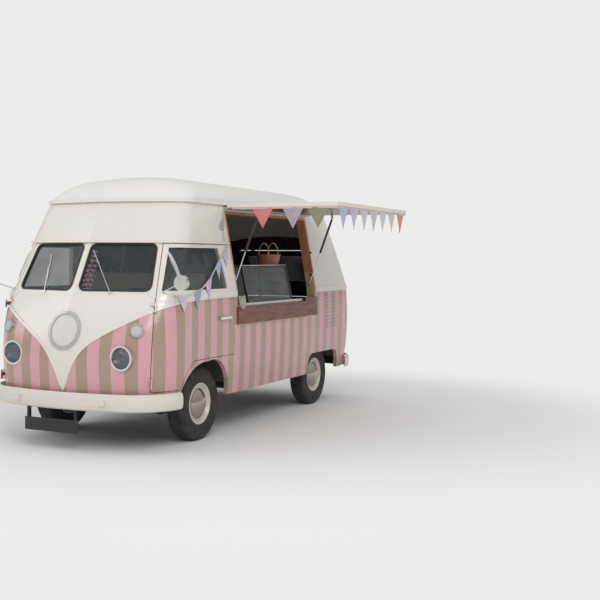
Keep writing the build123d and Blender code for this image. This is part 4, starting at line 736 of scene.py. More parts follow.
FINISHES: tuple[Finish, ...] = (
    StripedEnamel("striped_enamel", CREAM, 0.28, coat=0.35),
    Enamel("cream_enamel", CREAM, 0.28, coat=0.35),
    # Painted shade: the roof cap's underside is painted dark brown.
    TwoFaced(
        "roof_enamel", (0.80, 0.77, 0.73, 1), 0.4, coat=0.1, tone=0.09, dust=0.0, under=(0.10, 0.07, 0.05, 1),
    ),
    Enamel("bumper_enamel", (0.70, 0.655, 0.59, 1), 0.35, coat=0.2, dust=0.25, dust_top=0.6),
    # Partly painted shade: the flap's underside is reddish board, painted darker as if in the flap's own
    # shade.
    TwoFaced("flap_enamel", CREAM, 0.35, coat=0.1, dust=0.0),
    # Painted reflection: the hubcaps' brownish inner colour on full metal stands in for the ground reflected
    # in the chrome.
    TwoTone(
        "wheel_enamel", (0.66, 0.60, 0.53, 1), 0.3, coat=0.2, inner=(0.44, 0.36, 0.31, 1), radius=0.131,
    ),
    TwoTone(
        "roundel_enamel", (0.50, 0.48, 0.45, 1), 0.3, metallic=0.4, inner=(0.66, 0.63, 0.58, 1),
        inner_metal=0.0, inner_rough=0.3, radius=0.134, axes=(Axis.X, Axis.Z), centres=((0.0, 0.975),),
    ),
    TwoTone(
        "signal_chrome_and_glass", (0.70, 0.69, 0.67, 1), 0.16, metallic=1.0, inner=(0.52, 0.50, 0.50, 1),
        inner_metal=0.0, inner_rough=0.25, radius=0.047, axes=(Axis.X, Axis.Z), centres=((0.644, 0.989),),
        ribs=0.008, rear_inner=(0.35, 0.02, 0.015, 1),
    ),
    Enamel("floor_paint", (0.12, 0.105, 0.09, 1), 0.6, dust=0.3, dust_top=1.2),
    Enamel("dashboard_enamel", (0.55, 0.48, 0.38, 1), 0.35, dust=0.0),
    Enamel("plate_black", (0.012, 0.012, 0.013, 1), 0.35, dust=0.15),
    Plated("chrome", (0.72, 0.70, 0.68, 1)),
    Plated("ring_gold", (0.80, 0.50, 0.22, 1), roughness=0.22),
    Pane("window_glass", (0.09, 0.105, 0.11, 1), opacity=0.38),
    # Painted shade: the tailgate's glass is nearly opaque and dark, so the view through the hatch stays as
    # dark as the shaded inside.
    Pane("shade_dark_glass", (0.03, 0.034, 0.036, 1), opacity=0.86),
    Pane("screen_glass", (0.08, 0.095, 0.10, 1), opacity=0.24),
    Pane("cabinet_glass", (0.42, 0.46, 0.45, 1), opacity=0.13),
    Lens("lamp_glass", (0.14, 0.17, 0.21, 1), opacity=0.42),
    Rubber("tyre_rubber", (0.022, 0.021, 0.020, 1), 0.8),
    Rubber("seal_rubber", (0.014, 0.014, 0.014, 1), 0.55, dust=0.2),
    RoughMetal("chassis_black", (0.025, 0.025, 0.026, 1), 0.6, rust=0.35),
    RoughMetal("engine_metal", (0.17, 0.165, 0.16, 1), 0.55, metallic=0.6, rust=0.4),
    # Painted light on the jamb: its darker reddish upper part is painted shade under the flap, and its paler
    # foot is painted as lit.
    Timber(
        "jamb_timber", (0.66, 0.30, 0.14, 1), 0.38, coat=0.3, dark=(0.42, 0.17, 0.08, 1),
        low=(0.66, 0.48, 0.30, 1), lit_foot_top=1.42,
    ),
    Timber(
        "board_timber", (0.25, 0.075, 0.036, 1), 0.45, coat=0.2, dark=(0.10, 0.032, 0.018, 1),
        stretch=(1.0, 0.12, 1.0),
    ),
    Timber("shelf_timber", (0.20, 0.11, 0.06, 1), 0.6, dark=(0.07, 0.035, 0.02, 1), stretch=(1.0, 0.06, 1.0)),
    Timber(
        "wicker", (0.56, 0.22, 0.13, 1), 0.5, dark=(0.26, 0.09, 0.05, 1), stretch=(1.0, 1.0, 1.0), scale=90.0,
    ),
    Brushed("stainless", (0.60, 0.60, 0.60, 1), 0.3),
    Hide("seat_hide", (0.50, 0.43, 0.32, 1), 0.5),
    Moulded("black_plastic", (0.02, 0.02, 0.02, 1), 0.42),
    Moulded("case_black", (0.014, 0.014, 0.015, 1), 0.3),
    Moulded("plaque_paint", (0.36, 0.36, 0.31, 1), 0.5, worn=(0.27, 0.26, 0.21, 1)),
    Moulded("bolt_black", (0.03, 0.028, 0.026, 1), 0.35, metallic=0.8),
    Cotton("tissue_pink", (0.90, 0.50, 0.72, 1), sprig=(0.92, 0.68, 0.84, 1), sprigs=30.0),
    Cotton("tape_cotton", (0.60, 0.52, 0.50, 1), sprig=(0.66, 0.60, 0.58, 1)),
    Cotton("coral_cotton", (0.62, 0.20, 0.20, 1), sprig=(0.75, 0.42, 0.38, 1)),
    Cotton("grey_sprig_cotton", (0.36, 0.31, 0.36, 1), sprig=(0.58, 0.55, 0.60, 1), sprigs=75.0, share=0.5),
    Cotton("khaki_cotton", (0.27, 0.24, 0.17, 1), sprig=(0.36, 0.33, 0.24, 1)),
    Cotton("sky_cotton", (0.42, 0.42, 0.66, 1), sprig=(0.62, 0.64, 0.80, 1)),
    Cotton("lavender_cotton", (0.52, 0.42, 0.56, 1), sprig=(0.68, 0.60, 0.72, 1), sprigs=80.0),
    Cotton("lilac_cotton", (0.58, 0.50, 0.60, 1), sprig=(0.72, 0.66, 0.74, 1)),
    Cotton("pale_cotton", (0.64, 0.58, 0.60, 1), sprig=(0.50, 0.48, 0.60, 1), sprigs=95.0, share=0.25),
    Cotton("straw_cotton", (0.62, 0.54, 0.44, 1), sprig=(0.70, 0.64, 0.56, 1)),
    Cotton("china_blue_cotton", (0.26, 0.30, 0.56, 1), sprig=(0.62, 0.64, 0.78, 1), sprigs=60.0, share=0.6),
    Cotton("slate_cotton", (0.25, 0.30, 0.38, 1), sprig=(0.55, 0.58, 0.60, 1), sprigs=85.0, share=0.5),
)


class Palette:
    """Every finish of the van by name, each built when it is first asked for."""

    def __init__(self) -> None:
        """List the finishes."""
        self.finishes = {finish.name: finish for finish in FINISHES}
        self.built: dict[str, bpy.types.Material] = {}

    def get(self, name: str) -> bpy.types.Material:
        """The material of that name."""
        if name not in self.built:
            self.built[name] = self.finishes[name].build()
        return self.built[name]


# Dressing nodes.


@dataclass(frozen=True)
class NodeLooks:
    """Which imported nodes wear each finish."""

    other: str = "cream_enamel"
    worn_by: tuple[tuple[str, tuple[str, ...]], ...] = (
        ("striped_enamel", (
            "nose_panel", "left_side_panel", "right_side_panel", "rear_panel", "left_door", "right_door",
            "cargo_door_front", "cargo_door_rear", "engine_lid", "tailgate",
        )),
        ("flap_enamel", ("serving_flap",)),
        ("bumper_enamel", ("front_bumper", "rear_bumper")),
        ("roundel_enamel", ("front_roundel",)),
        ("roof_enamel", ("roof_cap",)),
        ("chrome", ("headlamps", "wipers", "left_door_fittings", "right_door_fittings", "strut_rods")),
        ("signal_chrome_and_glass", ("signal_lamps",)),
        ("lamp_glass", ("headlamp_lenses",)),
        ("screen_glass", ("windscreen_panes",)),
        ("window_glass", ("left_door_glass", "right_door_glass")),
        ("shade_dark_glass", ("tailgate_glass",)),
        ("cabinet_glass", ("display_case",)),
        ("seal_rubber", ("windscreen_seals",)),
        ("plate_black", ("front_plate",)),
        ("chassis_black", ("front_axle_beam", "chassis_frame", "knuckle_left", "knuckle_right")),
        ("engine_metal", ("rear_axle", "engine_block")),
        ("floor_paint", ("load_floor", "cab_floor")),
        ("dashboard_enamel", ("dashboard",)),
        ("black_plastic", ("steering_column", "steering_wheel", "strut_cylinders")),
        ("seat_hide", ("seat",)),
        ("jamb_timber", ("hatch_frame",)),
        ("board_timber", ("fascia_board",)),
        ("shelf_timber", ("wall_shelves",)),
        ("stainless", ("flap_hinge", "counter")),
        ("wicker", ("basket",)),
        ("tyre_rubber", tuple("tyre_" + wheel.value for wheel in Wheel)),
        ("wheel_enamel", tuple("rim_" + wheel.value for wheel in Wheel)),
    )

    def dress(self, palette: Palette) -> None:
        """Give every node its finish."""
        named = {node: finish for finish, nodes in self.worn_by for node in nodes}
        for name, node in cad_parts.items():
            node.data.materials.clear()
            node.data.materials.append(palette.get(named.get(name, self.other)))
            log.info("dressed %s", name)


# Pieces that solids can't show.


class Bench:
    """The modelling moves that the sub-assemblies share."""

    @staticmethod
    def clear() -> None:
        """Select nothing."""
        if bpy.context.mode != "OBJECT":
            bpy.ops.object.mode_set(mode="OBJECT")
        bpy.ops.object.select_all(action="DESELECT")

    @staticmethod
    def settle() -> Piece:
        """Bring the active piece's place, turn and size into its mesh."""
        bpy.ops.object.transform_apply(location=True, rotation=True, scale=True)
        return bpy.context.active_object

    @staticmethod
    def block(low: Vector, high: Vector) -> Piece:
        """A plain block between its lowest and highest corners."""
        Bench.clear()
        bpy.ops.mesh.primitive_cube_add(size=1.0, location=(low + high) / 2, scale=high - low)
        return Bench.settle()

    @staticmethod
    def bar(low: Vector, high: Vector) -> Piece:
        """A squared bar between two corners, its edges softened."""
        piece = Bench.block(low, high)
        Bench.modify(piece, "BEVEL", width=0.001, segments=2, limit_method="ANGLE")
        return piece

    @staticmethod
    def modify(piece: Piece, kind: str, **settings: object) -> None:
        """Give a piece one modifier and apply it.

        Args:
            piece: The piece.
            kind: The modifier's type.
            settings: Properties set on it.
        """
        modifier = piece.modifiers.new(kind.lower(), kind)
        for name, value in settings.items():
            setattr(modifier, name, value)
        bpy.context.view_layer.objects.active = piece
        bpy.ops.object.modifier_apply(modifier=modifier.name)

    @staticmethod
    def join(parts: list[Piece]) -> Piece:
        """Make several pieces one."""
        Bench.clear()
        for part in parts:
            part.select_set(True)
        bpy.context.view_layer.objects.active = parts[0]
        bpy.ops.object.join()
        return bpy.context.active_object

    @staticmethod
    def sheet_of(
        name: str, points: list[tuple], faces: list[tuple], maps: list[tuple] | None = None,
    ) -> Piece:
        """An open surface from its points and faces.

        Args:
            name: The surface's name.
            points: Its points.
            faces: Its faces, as numbers of points.
            maps: The place of each point on the flat cloth, in metres.

        Returns:
            The surface.
        """
        mesh = bpy.data.meshes.new(name)
        mesh.from_pydata(points, [], faces)
        mesh.update()
        if maps is not None:
            layer = mesh.uv_layers.new(name="cloth")
            for loop in mesh.loops:
                layer.data[loop.index].uv = maps[loop.vertex_index]
        piece = bpy.data.objects.new(name, mesh)
        bpy.context.scene.collection.objects.link(piece)
        return piece

    @staticmethod
    def finish(
        piece: Piece, name: str, finish: bpy.types.Material | None, body: str, smooth_deg: float = 35.0,
    ) -> Piece:
        """Name a piece, bring its place into its mesh, dress it and let it ride.

        Args:
            piece: The piece.
            name: Its name.
            finish: Its material, or None where its faces have theirs already.
            body: The body that it moves with.
            smooth_deg: The widest angle between faces that is shaded smooth.

        Returns:
            The same piece.
        """
        Bench.clear()
        piece.name = piece.data.name = name
        piece.select_set(True)
        bpy.context.view_layer.objects.active = piece
        Bench.settle()
        if finish is not None:
            piece.data.materials.clear()
            piece.data.materials.append(finish)
        bpy.ops.object.shade_smooth_by_angle(angle=math.radians(smooth_deg))
        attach(piece, body)
        log.info("made %s", name)
        return piece

    @staticmethod
    def probe(node: str) -> BVHTree:
        """A search tree of a node's surface at rest."""
        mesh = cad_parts[node].data
        faces = [tuple(face.vertices) for face in mesh.polygons]
        return BVHTree.FromPolygons([vertex.co.copy() for vertex in mesh.vertices], faces)


class Cloth:
    """A string of pennants on its tape, made as one sheet with a print for each."""

    rows = 9
    columns = 6
    thickness = 0.0012
    weld = 0.00005

    def __init__(self, name: str, palette: Palette) -> None:
        """Start an empty string of that name."""
        self.name = name
        self.palette = palette
        self.points: list[tuple] = []
        self.maps: list[tuple] = []
        self.faces: list[tuple] = []
        self.prints: list[str] = []

    def grid(
        self, corners: tuple[Vector, ...], out: Vector, wave: float, phase: float, print_name: str,
        drape: object = None,
    ) -> None:
        """Add one pennant or one run of tape.

        Args:
            corners: Upper left, upper right, lower right and lower left.
            out: The direction in which it ripples.
            wave: How far it ripples.
            phase: Where its ripples start.
            print_name: The finish.
            drape: A function that lays a point on what is behind it.
        """
        top_left, top_right, low_right, low_left = corners
        width, drop = (top_right - top_left).length, (low_left - top_left).length
        first = len(self.points)
        for row in range(self.rows + 1):
            down = row / self.rows
            for column in range(self.columns + 1):
                across = column / self.columns
                spot = top_left.lerp(top_right, across).lerp(low_left.lerp(low_right, across), down)
                ripple = 0.5 + 0.5 * math.sin(phase + 5.5 * across + 2.2 * down)
                spot = spot if drape is None else drape(spot)
                self.points.append(tuple(spot + out * (wave * ripple * (0.25 + 0.75 * down))))
                self.maps.append((across * width, down * drop))
        for row in range(self.rows):
            for column in range(self.columns):
                a = first + row * (self.columns + 1) + column
                b = a + self.columns + 1
                self.faces.append((a, b, b + 1, a + 1))
                self.prints.append(print_name)

    def tape(self, corners: tuple[Vector, ...], drape: object = None) -> None:
        """Add one flat run of tape."""
        self.grid(corners, Vector((0, 0, 0)), 0.0, 0.0, "tape_cotton", drape)

    def build(self, body: str, node: str, rests_on: str, drop: float) -> Piece:
        """Sew the string together, give it both sides and hang it.

        Args:
            body: The body that it moves with.
            node: The node that it stands for.
            rests_on: What it hangs from; not used.
            drop: How deep the string was cut; not used.

        Returns:
            The cloth.
        """
        piece = Bench.sheet_of(self.name, self.points, self.faces, self.maps)
        names = sorted(set(self.prints))
        for name in names:
            piece.data.materials.append(self.palette.get(name))
        for face, print_name in zip(piece.data.polygons, self.prints):
            face.material_index = names.index(print_name)
        Bench.clear()
        Bench.modify(piece, "WELD", merge_threshold=self.weld)
        Bench.modify(piece, "SOLIDIFY", thickness=self.thickness, offset=0.0)
        Bench.finish(piece, self.name, None, body, 60.0)
        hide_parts(node)
        return piece


@dataclass
class Bunting:
    """The strings of pennants on the flap, the pillar and the left door, in the van's millimetres.

    A pennant is its two upper corners, its tip and its print. Values with _m
    after their names are in metres.
    """

    palette: Palette
    tape: float = 16.0
    width: float = 205.0
    drop: float = 180.0
    cloth_drop_m: float = 0.196
    edge_m: float = 0.0015
    print_gap_m: float = 0.0003
    overlap_m: float = 0.008
    outer_tape_from_m: float = 0.007
    outer_lead_m: float = 0.037
    outer_spare_m: float = 0.05
    front_starts: tuple[float, ...] = (1028.0, 1321.0, 1559.0)
    front_prints: tuple[str, ...] = ("coral_cotton", "grey_sprig_cotton", "khaki_cotton")
    outer_prints: tuple[str, ...] = (
        "sky_cotton", "lavender_cotton", "lilac_cotton", "lilac_cotton", "pale_cotton", "straw_cotton",
        "coral_cotton",
    )
    door_tape: tuple[tuple[float, float], ...] = (
        (1366, 1680), (1170, 1552), (980, 1402), (800, 1312), (620, 1270), (430, 1262),
    )
    door_pennants: tuple[tuple, ...] = (
        ((1362, 1674), (1250, 1600), (1285, 1490), "lavender_cotton"),
        ((1215, 1577), (1090, 1485), (1120, 1375), "china_blue_cotton"),
        ((1010, 1422), (870, 1343), (905, 1215), "lavender_cotton"),
        ((800, 1308), (660, 1275), (715, 1145), "slate_cotton"),
        ((590, 1265), (450, 1259), (510, 1120), "pale_cotton"),
    )
    pillar_tape: tuple[tuple[float, float], ...] = ((1398, 1985), (1362, 1870), (1334, 1770), (1326, 1712))
    pillar_pennants: tuple[tuple, ...] = (((1384, 1940), (1347, 1815), (1262, 1822), "grey_sprig_cotton"),)

    def on_flap(self) -> None:
        """Hang the string under the flap's front and outer edges."""
        cloth = Cloth("flap_bunting_cloth", self.palette)
        low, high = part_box("bunting")
        top, hem = high.z, high.z - self.overlap_m
        front_y, outer_x = low.y + self.edge_m, high.x - self.edge_m
        down, left_to_right, back = Vector((0, 0, -1)), Vector((1, 0, 0)), Vector((0, 1, 0))

        def strip(start: Vector, end: Vector) -> None:
            """Sew one run of tape."""
            below = down * (self.tape / 1000)
            cloth.tape((start, end, end + below, start + below))

        def pennant(first: Vector, way: Vector, out: Vector, wave: float, phase: float, name: str) -> None:
            """Sew one pennant to the tape."""
            second = first + way * (self.width / 1000)
            tip = (first + second) / 2 + down * (self.drop / 1000)
            cloth.grid((first, second, tip, tip), out, wave, phase, name)

        strip(Vector((low.x, front_y, top)), Vector((outer_x, front_y, top)))
        for index, (begin, name) in enumerate(zip(self.front_starts, self.front_prints)):
            first = Vector((van(begin, 0, 0).x, front_y - self.print_gap_m, hem))
            pennant(first, left_to_right, back, 0.006, 1.3 * index, name)
        strip(Vector((outer_x, low.y + self.outer_tape_from_m, top)), Vector((outer_x, high.y, top)))
        pitch = (high.y - low.y - self.outer_spare_m) / len(self.outer_prints)
        for index, name in enumerate(self.outer_prints):
            first = Vector((outer_x + self.print_gap_m, low.y + self.outer_lead_m + index * pitch, hem))
            pennant(first, back, -left_to_right, 0.007, 1.7 * index, name)
        piece = cloth.build("serving_flap", "bunting", "serving_flap", self.cloth_drop_m)
        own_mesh(piece)

    def on_side(self, name: str, body: str, path: tuple, pennants: tuple, carrier: str) -> None:
        """Hang a string that lies along the left side.

        Args:
            name: The name of the node that it stands for.
            body: The body that it moves with.
            path: The tape's line, y and z.
            pennants: The pennants, their corners as y and z.
            carrier: The node that it hangs from.
        """
        tree = Bench.probe(name)
        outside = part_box(name)[1].x

        def drape(spot: Vector) -> Vector:
            """Lay a point on the middle of the node's sheet."""
            hit = tree.ray_cast(Vector((outside + 0.05, spot.y, spot.z)), Vector((-1, 0, 0)))[0]
            if hit is None:
                hit = tree.find_nearest(Vector((outside, spot.y, spot.z)))[0]
            return Vector((hit.x - self.edge_m, spot.y, spot.z))

        cloth = Cloth(name + "_cloth", self.palette)
        for (y0, z0), (y1, z1) in zip(path, path[1:]):
            steep = abs(z1 - z0) > abs(y1 - y0)
            dy, dz = (-math.copysign(self.tape, y0 - y1), 0) if steep else (0, -self.tape)
            runs = ((y0, z0), (y1, z1), (y1 + dy, z1 + dz), (y0 + dy, z0 + dz))
            cloth.tape(tuple(van(0, y, z) for y, z in runs), drape)
        for index, (first, second, tip, print_name) in enumerate(pennants):
            corners = tuple(van(0, *spot) for spot in (first, second, tip, tip))
            cloth.grid(corners, Vector((1, 0, 0)), 0.004, 2.1 * index, print_name, drape)
        cloth.build(body, name, carrier, self.cloth_drop_m)

    def build(self) -> None:
        """Hang all three strings."""
        self.on_flap()
        self.on_side("door_bunting", "left_door", self.door_tape, self.door_pennants, "left_door")
        self.on_side("pillar_bunting", "body", self.pillar_tape, self.pillar_pennants, "left_side_panel")


@dataclass
class Seat:
    """The cab's bench: a sewn cushion and a back, both full and firm."""

    palette: Palette
    inset: float = 0.012
    rounding: float = 0.026
    channels: int = 7
    crown: float = 0.011
    groove_depth: float = 0.009
    groove_width: float = 0.16
    split_z: float = 1000.0
    cushion_back_y: float = 1300.0
    back_front_y: float = 1200.0

    def pad(self, name: str, low: Vector, high: Vector, face: Axis) -> Piece:
        """Shape one pad within its space, its sewn channels side by side across the van.

        Args:
            name: The pad's name.
            low: The lowest corner of its space.
            high: The highest corner of its space.
            face: The axis that its crowned face looks along.

        Returns:
            The pad.
        """
        inset = Vector((self.inset, self.inset, self.inset))
        inner_low, inner_high = low + inset, high - inset
        inner_low.z = low.z + 0.0005
        piece = Bench.block(inner_low, inner_high)
        Bench.modify(piece, "BEVEL", width=self.rounding, segments=5)
        bpy.ops.object.mode_set(mode="EDIT")
        bpy.ops.mesh.select_all(action="SELECT")
        bpy.ops.mesh.subdivide(number_cuts=9)
        bpy.ops.object.mode_set(mode="OBJECT")
        size = inner_high - inner_low
        for vertex in piece.data.vertices:
            share = [(vertex.co[axis] - inner_low[axis]) / size[axis] for axis in Axis]
            bulge = 1.0
            for axis in Axis:
                if axis != face:
                    bulge *= max(1 - (2 * share[axis] - 1) ** 2, 0.0) ** 0.35
            channel = abs((share[Axis.X] * self.channels) % 1.0 - 0.5) * 2
            groove = math.exp(-(((1 - channel) / self.groove_width) ** 2))
            lift = self.crown * bulge - self.groove_depth * groove * bulge
            toward = 2 * share[face] - 1
            if face != Axis.Z or toward >= 0:
                vertex.co[face] += lift * toward
        Bench.finish(piece, name, self.palette.get("seat_hide"), "body", 60.0)
        return piece

    def build(self) -> None:
        """Make the cushion and the back."""
        low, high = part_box("seat")
        split = van(0, 0, self.split_z).z
        cushion_back = Vector((high.x, van(0, self.cushion_back_y, 0).y, split))
        back_foot = Vector((low.x, van(0, self.back_front_y, 0).y, split))
        cushion = self.pad("seat_cushion_pad", low, cushion_back, Axis.Z)
        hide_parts("seat")
        self.pad("seat_back_pad", back_foot, high, Axis.Y)


@dataclass
class Basket:
    """The round wicker basket on the cabinet, with its two ring handles."""

    palette: Palette
    strands: int = 15
    strand: float = 0.0046
    height: float = 0.110
    foot_radius: float = 0.095
    rim_radius: float = 0.125
    stakes: int = 28
    stake: float = 0.0022
    ring_offset: float = 0.050
    ring_wire: float = 0.004

    def __post_init__(self) -> None:
        """Find where the basket stands."""
        low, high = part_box("basket")
        self.middle = (low + high) / 2
        self.foot, self.rim = low.z, low.z + self.height
        self.setback = self.strand * 1.3

    def strand_rings(self) -> list[Piece]:
        """Weave the strands in and out of the stakes, ring over ring."""
        rings = []
        for index in range(self.strands):
            share = (index + 0.5) / self.strands
            up = self.foot + self.strand + (self.rim - self.foot - 2 * self.strand) * share
            Bench.clear()
            bpy.ops.mesh.primitive_torus_add(
                major_segments=self.stakes * 2, minor_segments=6, minor_radius=self.strand,
                major_radius=self.foot_radius + (self.rim_radius - self.foot_radius) * share - self.setback,
                location=(self.middle.x, self.middle.y, up),
            )
            ring = bpy.context.active_object
            for vertex in ring.data.vertices:
                turn = math.atan2(vertex.co.y, vertex.co.x) * self.stakes + math.pi * (index % 2)
                flat = Vector((vertex.co.x, vertex.co.y, 0))
                vertex.co += flat.normalized() * (self.stake * math.cos(turn))
            rings.append(ring)
        return rings

    def stake_rods(self) -> list[Piece]:
        """Set the stakes round the foot, leaning out to the rim."""
        rods = []
        for index in range(self.stakes):
            turn = FULL_TURN * index / self.stakes
            outer = Vector((math.cos(turn), math.sin(turn), 0))
            foot = Vector((self.middle.x, self.middle.y, self.foot + 0.001))
            rim = Vector((self.middle.x, self.middle.y, self.rim - 0.003))
            start = outer * (self.foot_radius - self.setback) + foot
            end = outer * (self.rim_radius - self.setback) + rim
            Bench.clear()
            bpy.ops.mesh.primitive_cylinder_add(
                vertices=6, radius=self.stake, depth=(end - start).length, location=(start + end) / 2,
            )
            rod = bpy.context.active_object
            rod.rotation_mode = "QUATERNION"
            rod.rotation_quaternion = (end - start).to_track_quat("Z", "Y")
            rods.append(Bench.settle())
        return rods

    def base(self) -> Piece:
        """Turn the round base."""
        Bench.clear()
        bpy.ops.mesh.primitive_cylinder_add(
            vertices=36, radius=self.foot_radius - 0.004, depth=0.006,
            location=(self.middle.x, self.middle.y, self.foot + 0.0035),
        )
        base = bpy.context.active_object
        Bench.modify(base, "BEVEL", width=0.0015, segments=2, limit_method="ANGLE")
        return base

    def handle(self, side: int) -> Piece:
        """Stand the upper half of a wire ring across the rim, on one side of the middle."""
        reach = math.sqrt((self.rim_radius - 0.0045) ** 2 - self.ring_offset**2)
        Bench.clear()
        bpy.ops.mesh.primitive_torus_add(
            major_segments=48, minor_segments=10, major_radius=reach, minor_radius=self.ring_wire,
            location=(self.middle.x + side * self.ring_offset, self.middle.y, self.rim - 0.002),
            rotation=(0, math.pi / 2, 0),
        )
        ring = Bench.settle()
        bpy.ops.object.mode_set(mode="EDIT")
        bpy.ops.mesh.select_all(action="SELECT")
        cut = (0, 0, self.rim - 0.006)
        bpy.ops.mesh.bisect(plane_co=cut, plane_no=(0, 0, -1), clear_outer=True, use_fill=True)
        bpy.ops.object.mode_set(mode="OBJECT")
        return ring

    def build(self) -> None:
        """Weave the basket and set up its handles."""
        weave = Bench.join(self.strand_rings() + self.stake_rods() + [self.base()])
        Bench.finish(weave, "basket_weave", self.palette.get("wicker"), "body", 60.0)
        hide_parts("basket")
        handles = Bench.join([self.handle(side) for side in (-1, 1)])
        Bench.finish(handles, "basket_rings", self.palette.get("ring_gold"), "body")


@dataclass
class Cabinet:
    """The black and bright framing of the sloping glass cabinet on the counter."""

    palette: Palette
    bar: float = 0.014
    proud: float = 0.0015
    foot_x: float = 842.0
    head_x: float = 760.0

    def end_bars(self, end: float, inner: float) -> list[Piece]:
        """Frame one end: a sloping bar, a head, a toe and an upright.

        Args:
            end: Where the end lies along the van.
            inner: Where its bars stop inwards.

        Returns:
            The four bars.
        """
        low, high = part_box("display_case")
        low_x, high_x = van(self.foot_x, 0, 0).x, van(self.head_x, 0, 0).x
        near, far = min(end, inner) - self.proud, max(end, inner) + self.proud
        run = Vector((high_x - low_x, 0, high.z - low.z))
        Bench.clear()
        bpy.ops.mesh.primitive_cube_add(size=1.0)
        slope = bpy.context.active_object
        slope.scale = (self.bar, far - near, run.length)
        slope.rotation_mode = "QUATERNION"
        slope.rotation_quaternion = run.to_track_quat("Z", "Y")
        middle_x = (low_x + high_x) / 2 - self.bar / 2 + self.proud
        slope.location = (middle_x, (near + far) / 2, (low.z + high.z) / 2)
        Bench.settle()
        Bench.modify(slope, "BEVEL", width=0.0015, segments=2)
        corners = (
            ((low.x, near, high.z - self.bar), (high_x, far, high.z + self.proud)),
            ((low.x, near, low.z), (low_x - self.bar, far, low.z + self.bar)),
            ((low.x - self.proud, near, low.z), (low.x + self.bar, far, high.z)),
        )
        return [slope] + [Bench.bar(Vector(lower), Vector(upper)) for lower, upper in corners]

    def build(self) -> None:
        """Frame both ends and edge the top and the foot."""
        low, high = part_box("display_case")
        low_x, high_x = van(self.foot_x, 0, 0).x, van(self.head_x, 0, 0).x
        bars = self.end_bars(low.y, low.y + self.bar) + self.end_bars(high.y, high.y - self.bar)
        Bench.finish(Bench.join(bars), "cabinet_frame", self.palette.get("case_black"), "body")
        top = ((high_x - 0.030, low.y, high.z - 0.002), (high_x + 0.004, high.y, high.z + 0.004))
        foot = ((low_x - 0.016, low.y, low.z), (low_x + 0.003, high.y, low.z + 0.014))
        edges = [Bench.bar(Vector(lower), Vector(upper)) for lower, upper in (top, foot)]
        Bench.finish(Bench.join(edges), "cabinet_edges", self.palette.get("stainless"), "body")


@dataclass
class HatchTrim:
    """Bolts through the rear jamb and a blank shield on the board, in the van's millimetres.

    Values with _m after their names are in metres.
    """

    palette: Palette
    bolt_x: float = 840.0
    bolt_heights: tuple[float, ...] = (1625.0, 1395.0)
    bolt_inset_m: float = 0.02
    bolt_radius_m: float = 0.011
    jamb_y: float = 3126.0
    shield_y: float = 1476.0
    shield_z: tuple[float, float] = (1108.0, 1232.0)
    shield_half: float = 60.0
    shield_thick: float = 3.5
    shield_foot: float = 906.4
    shield_head: float = 889.0

    def shield(self) -> None:
        """Hang the shield, a plate drawn in to a point below, with the closed flap's lean."""
        low, high = (van(0, 0, z).z for z in self.shield_z)
        half, thick = self.shield_half / 1000, self.shield_thick / 1000
        foot_x, head_x = (van(x, 0, 0).x for x in (self.shield_foot, self.shield_head))
        Bench.clear()
        facing = (0, math.pi / 2, 0)
        bpy.ops.mesh.primitive_cylinder_add(vertices=40, radius=1.0, depth=thick, rotation=facing)
        plate = Bench.settle()
        centre_y = van(0, self.shield_y, 0).y
        for vertex in plate.data.vertices:
            across, up = vertex.co.y, vertex.co.z
            if up >= 0:
                wide = math.copysign(min(abs(across) * 1.5, 1.0), across)
                tall = min(up * 1.5, 1.0) - 0.12 * (1 - wide * wide)
            else:
                wide, tall = across * (1 - 0.15 * up * up), up
            share = (tall + 1) / 2
            face_x = foot_x + share * (head_x - foot_x) + thick / 2 + vertex.co.x
            vertex.co = Vector((face_x, centre_y + wide * half, low + share * (high - low)))
        bpy.ops.object.mode_set(mode="EDIT")
        bpy.ops.mesh.select_all(action="DESELECT")
        bpy.ops.object.mode_set(mode="OBJECT")
        for face in plate.data.polygons:
            face.select = face.normal.x > 0.9
        bpy.ops.object.mode_set(mode="EDIT")
        bpy.ops.mesh.inset(thickness=0.006, depth=0.0)
        bpy.ops.mesh.inset(thickness=0.0015, depth=-0.001)
        bpy.ops.object.mode_set(mode="OBJECT")
        Bench.finish(plate, "blank_shield", self.palette.get("plaque_paint"), "body")

    def jamb_bolts(self) -> None:
        """Put two dark coach bolts in the rear jamb."""
        heads = []
        for height in self.bolt_heights:
            spot = van(self.bolt_x, self.jamb_y, height)
            Bench.clear()
            bpy.ops.mesh.primitive_uv_sphere_add(
                segments=20, ring_count=10, radius=self.bolt_radius_m,
                location=(spot.x - self.bolt_inset_m, spot.y, spot.z),
            )
            bpy.context.active_object.scale.y = 0.45
            heads.append(Bench.settle())
        Bench.finish(Bench.join(heads), "jamb_bolts", self.palette.get("bolt_black"), "body")

    def build(self) -> None:
        """Make the trim."""
        self.shield()
        self.jamb_bolts()


